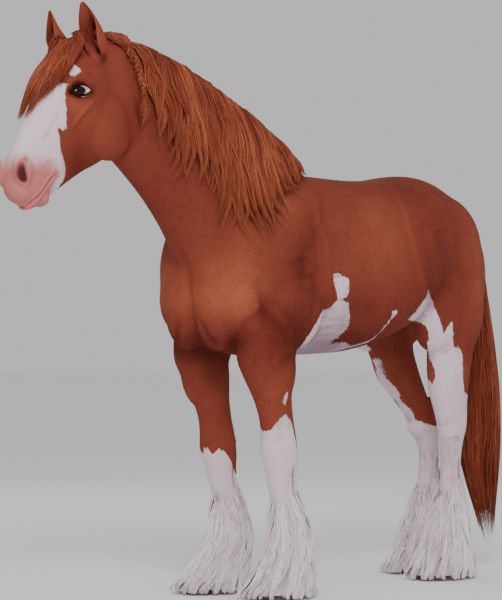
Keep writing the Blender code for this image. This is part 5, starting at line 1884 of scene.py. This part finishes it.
def makeTufts(name):
    s = tuftSizes[name]
    draw = np.random.default_rng(s["seed"])
    corners = skinPoints[skinFaces]
    area = np.linalg.norm(np.cross(corners[:, 1] - corners[:, 0], corners[:, 2] - corners[:, 0]), axis=1) / 2
    middle = corners.mean(axis=1)
    onHead = (middle[:, 0] < -0.80) & (middle[:, 2] > 1.55)
    wanted = area * (onHead if name == "faceTufts" else ~onHead)
    wanted = wanted * (skinDark[skinFaces].max(axis=1) < 0.25) * (middle[:, 2] > 0.16)
    if name == "faceTufts":
        wanted = wanted * mixed(1.0, 0.25, eased(-middle[:, 2], -1.80, -1.70))
    picked = draw.choice(len(wanted), s["count"], p=wanted / wanted.sum())
    share = draw.dirichlet((1, 1, 1), s["count"])[:, :, None]
    points = (corners[picked] * share).sum(axis=1)
    facing = unit((skinNormals[skinFaces[picked]] * share).sum(axis=1))
    stray = draw.normal(0, 0.16, (s["count"], 3))
    lie = unit(lieOf(points, facing) + stray)
    lie = unit(lie - facing * np.sum(lie * facing, axis=1, keepdims=True))
    size = draw.uniform(0.65, 1.15, s["count"])
    mesh = bpy.data.meshes.new(name)
    mesh.from_pydata((points - facing * s["sunk"]).tolist(), [], [])
    tables = {"lie": lie, "facing": facing, "rootUv": np.pad(skinUv(points), ((0, 0), (0, 1))), "size": size}
    for key in ("mark", "form", "zone"):
        tables[key] = (threesOf(skin.data, key)[skinFaces[picked]] * share).sum(axis=1)
    # painted light, making up for the shade that falls on the tufts
    tables["form"][:, 0] -= 0.5  # a little lighter than the skin under them
    for key, values in tables.items():
        give(mesh, key, values)
    inputs = {label: s[label.lower()] for label in ("Length", "Width", "Thinness", "Lift")}
    obj = grow(linked(name, mesh), growTufts, {**inputs, "Finish": chestnutCoat})
    giveBakeMap(obj.data, 3)
    return settled(obj, "chestnut_coat")


makeMane()
makeForelock()
makePlait()
makePlaitTuft()
makeTail()
for number, leg in enumerate(legs):
    makeFeather(leg, 31 + number)
    makeHoof(leg)
for side in (-1, 1):
    makeEye(side)
makeLashes()
makeEarHair()
makeTufts("coatTufts")
makeTufts("faceTufts")

fleshNodes = ["head", "neck", "torso", "ear_left", "ear_right"]
fleshNodes += [leg.name + half for leg in legs for half in ("_upper", "_lower")]
settled(skin, "chestnut_coat", *fleshNodes)


# Stage, light and camera.
stageSizes = {"floorRadius": 60.0, "floorGap": 0.0008, "worldStrength": 0.62}
lampSizes = {
    "key": {"place": (-6.4, -6.2, 6.4), "target": (0.0, 0.0, 1.3), "size": 3.0, "power": 640},
    "fill": {"place": (3.0, -9.0, 2.0), "target": (0.0, 0.0, 1.2), "size": 5.0, "power": 30},
    "rim": {"place": (4.0, 6.0, 5.0), "target": (0.0, 0.0, 1.4), "size": 3.0, "power": 60},
}


def makeStage():
    s = stageSizes
    mesh = bpy.data.meshes.new("floor")
    disc = {"cap_ends": True, "segments": 96, "radius": s["floorRadius"]}
    reworked(mesh, lambda bm: bmesh.ops.create_circle(bm, **disc))
    mesh.transform(Matrix.Translation((0, 0, -s["floorGap"])))
    floor = linked("floor", mesh)
    f = Finish("paleFloor", Roughness=0.9, Specular_IOR_Level=0.2)
    f.wear(Base_Color=paint(248, 248, 250))
    mesh.materials.append(f.material)
    world = bpy.data.worlds.new("studio")
    world.use_nodes = True
    sky = world.node_tree.nodes["Background"]
    sky.inputs["Color"].default_value = (1.0, 1.0, 1.0, 1.0)
    sky.inputs["Strength"].default_value = s["worldStrength"]
    bpy.context.scene.world = world


def addLamp(name, place, target, size, power):
    lamp = bpy.data.lights.new(name, "AREA")
    lamp.shape = "DISK"
    lamp.size = size
    lamp.energy = power
    obj = bpy.data.objects.new(name, lamp)
    obj.location = place
    obj.rotation_mode = "QUATERNION"
    obj.rotation_quaternion = (Vector(target) - Vector(place)).to_track_quat("-Z", "Y")
    bpy.context.scene.collection.objects.link(obj)


cameraSizes = {"turn": -47.9, "rise": -0.6, "far": 11.5, "target": (0.055, 0.0, 1.257), "lens": 161.34}


def makeCamera():
    s = cameraSizes
    turn, rise = math.radians(s["turn"]), math.radians(s["rise"])
    back = Vector((math.sin(turn) * math.cos(rise), -math.cos(turn) * math.cos(rise), math.sin(rise)))
    camera = bpy.data.cameras.new("camera")
    camera.lens = s["lens"]
    camera.sensor_width = 36.0
    camera.clip_end = 300
    obj = bpy.data.objects.new("camera", camera)
    obj.location = Vector(s["target"]) + Vector((shiftX, 0, 0)) + back * s["far"]
    obj.rotation_mode = "QUATERNION"
    obj.rotation_quaternion = (-back).to_track_quat("-Z", "Y")
    bpy.context.scene.collection.objects.link(obj)
    bpy.context.scene.camera = obj


makeStage()
for name, sizes in lampSizes.items():
    addLamp(name, **sizes)
makeCamera()
print("stage, lights and camera set")
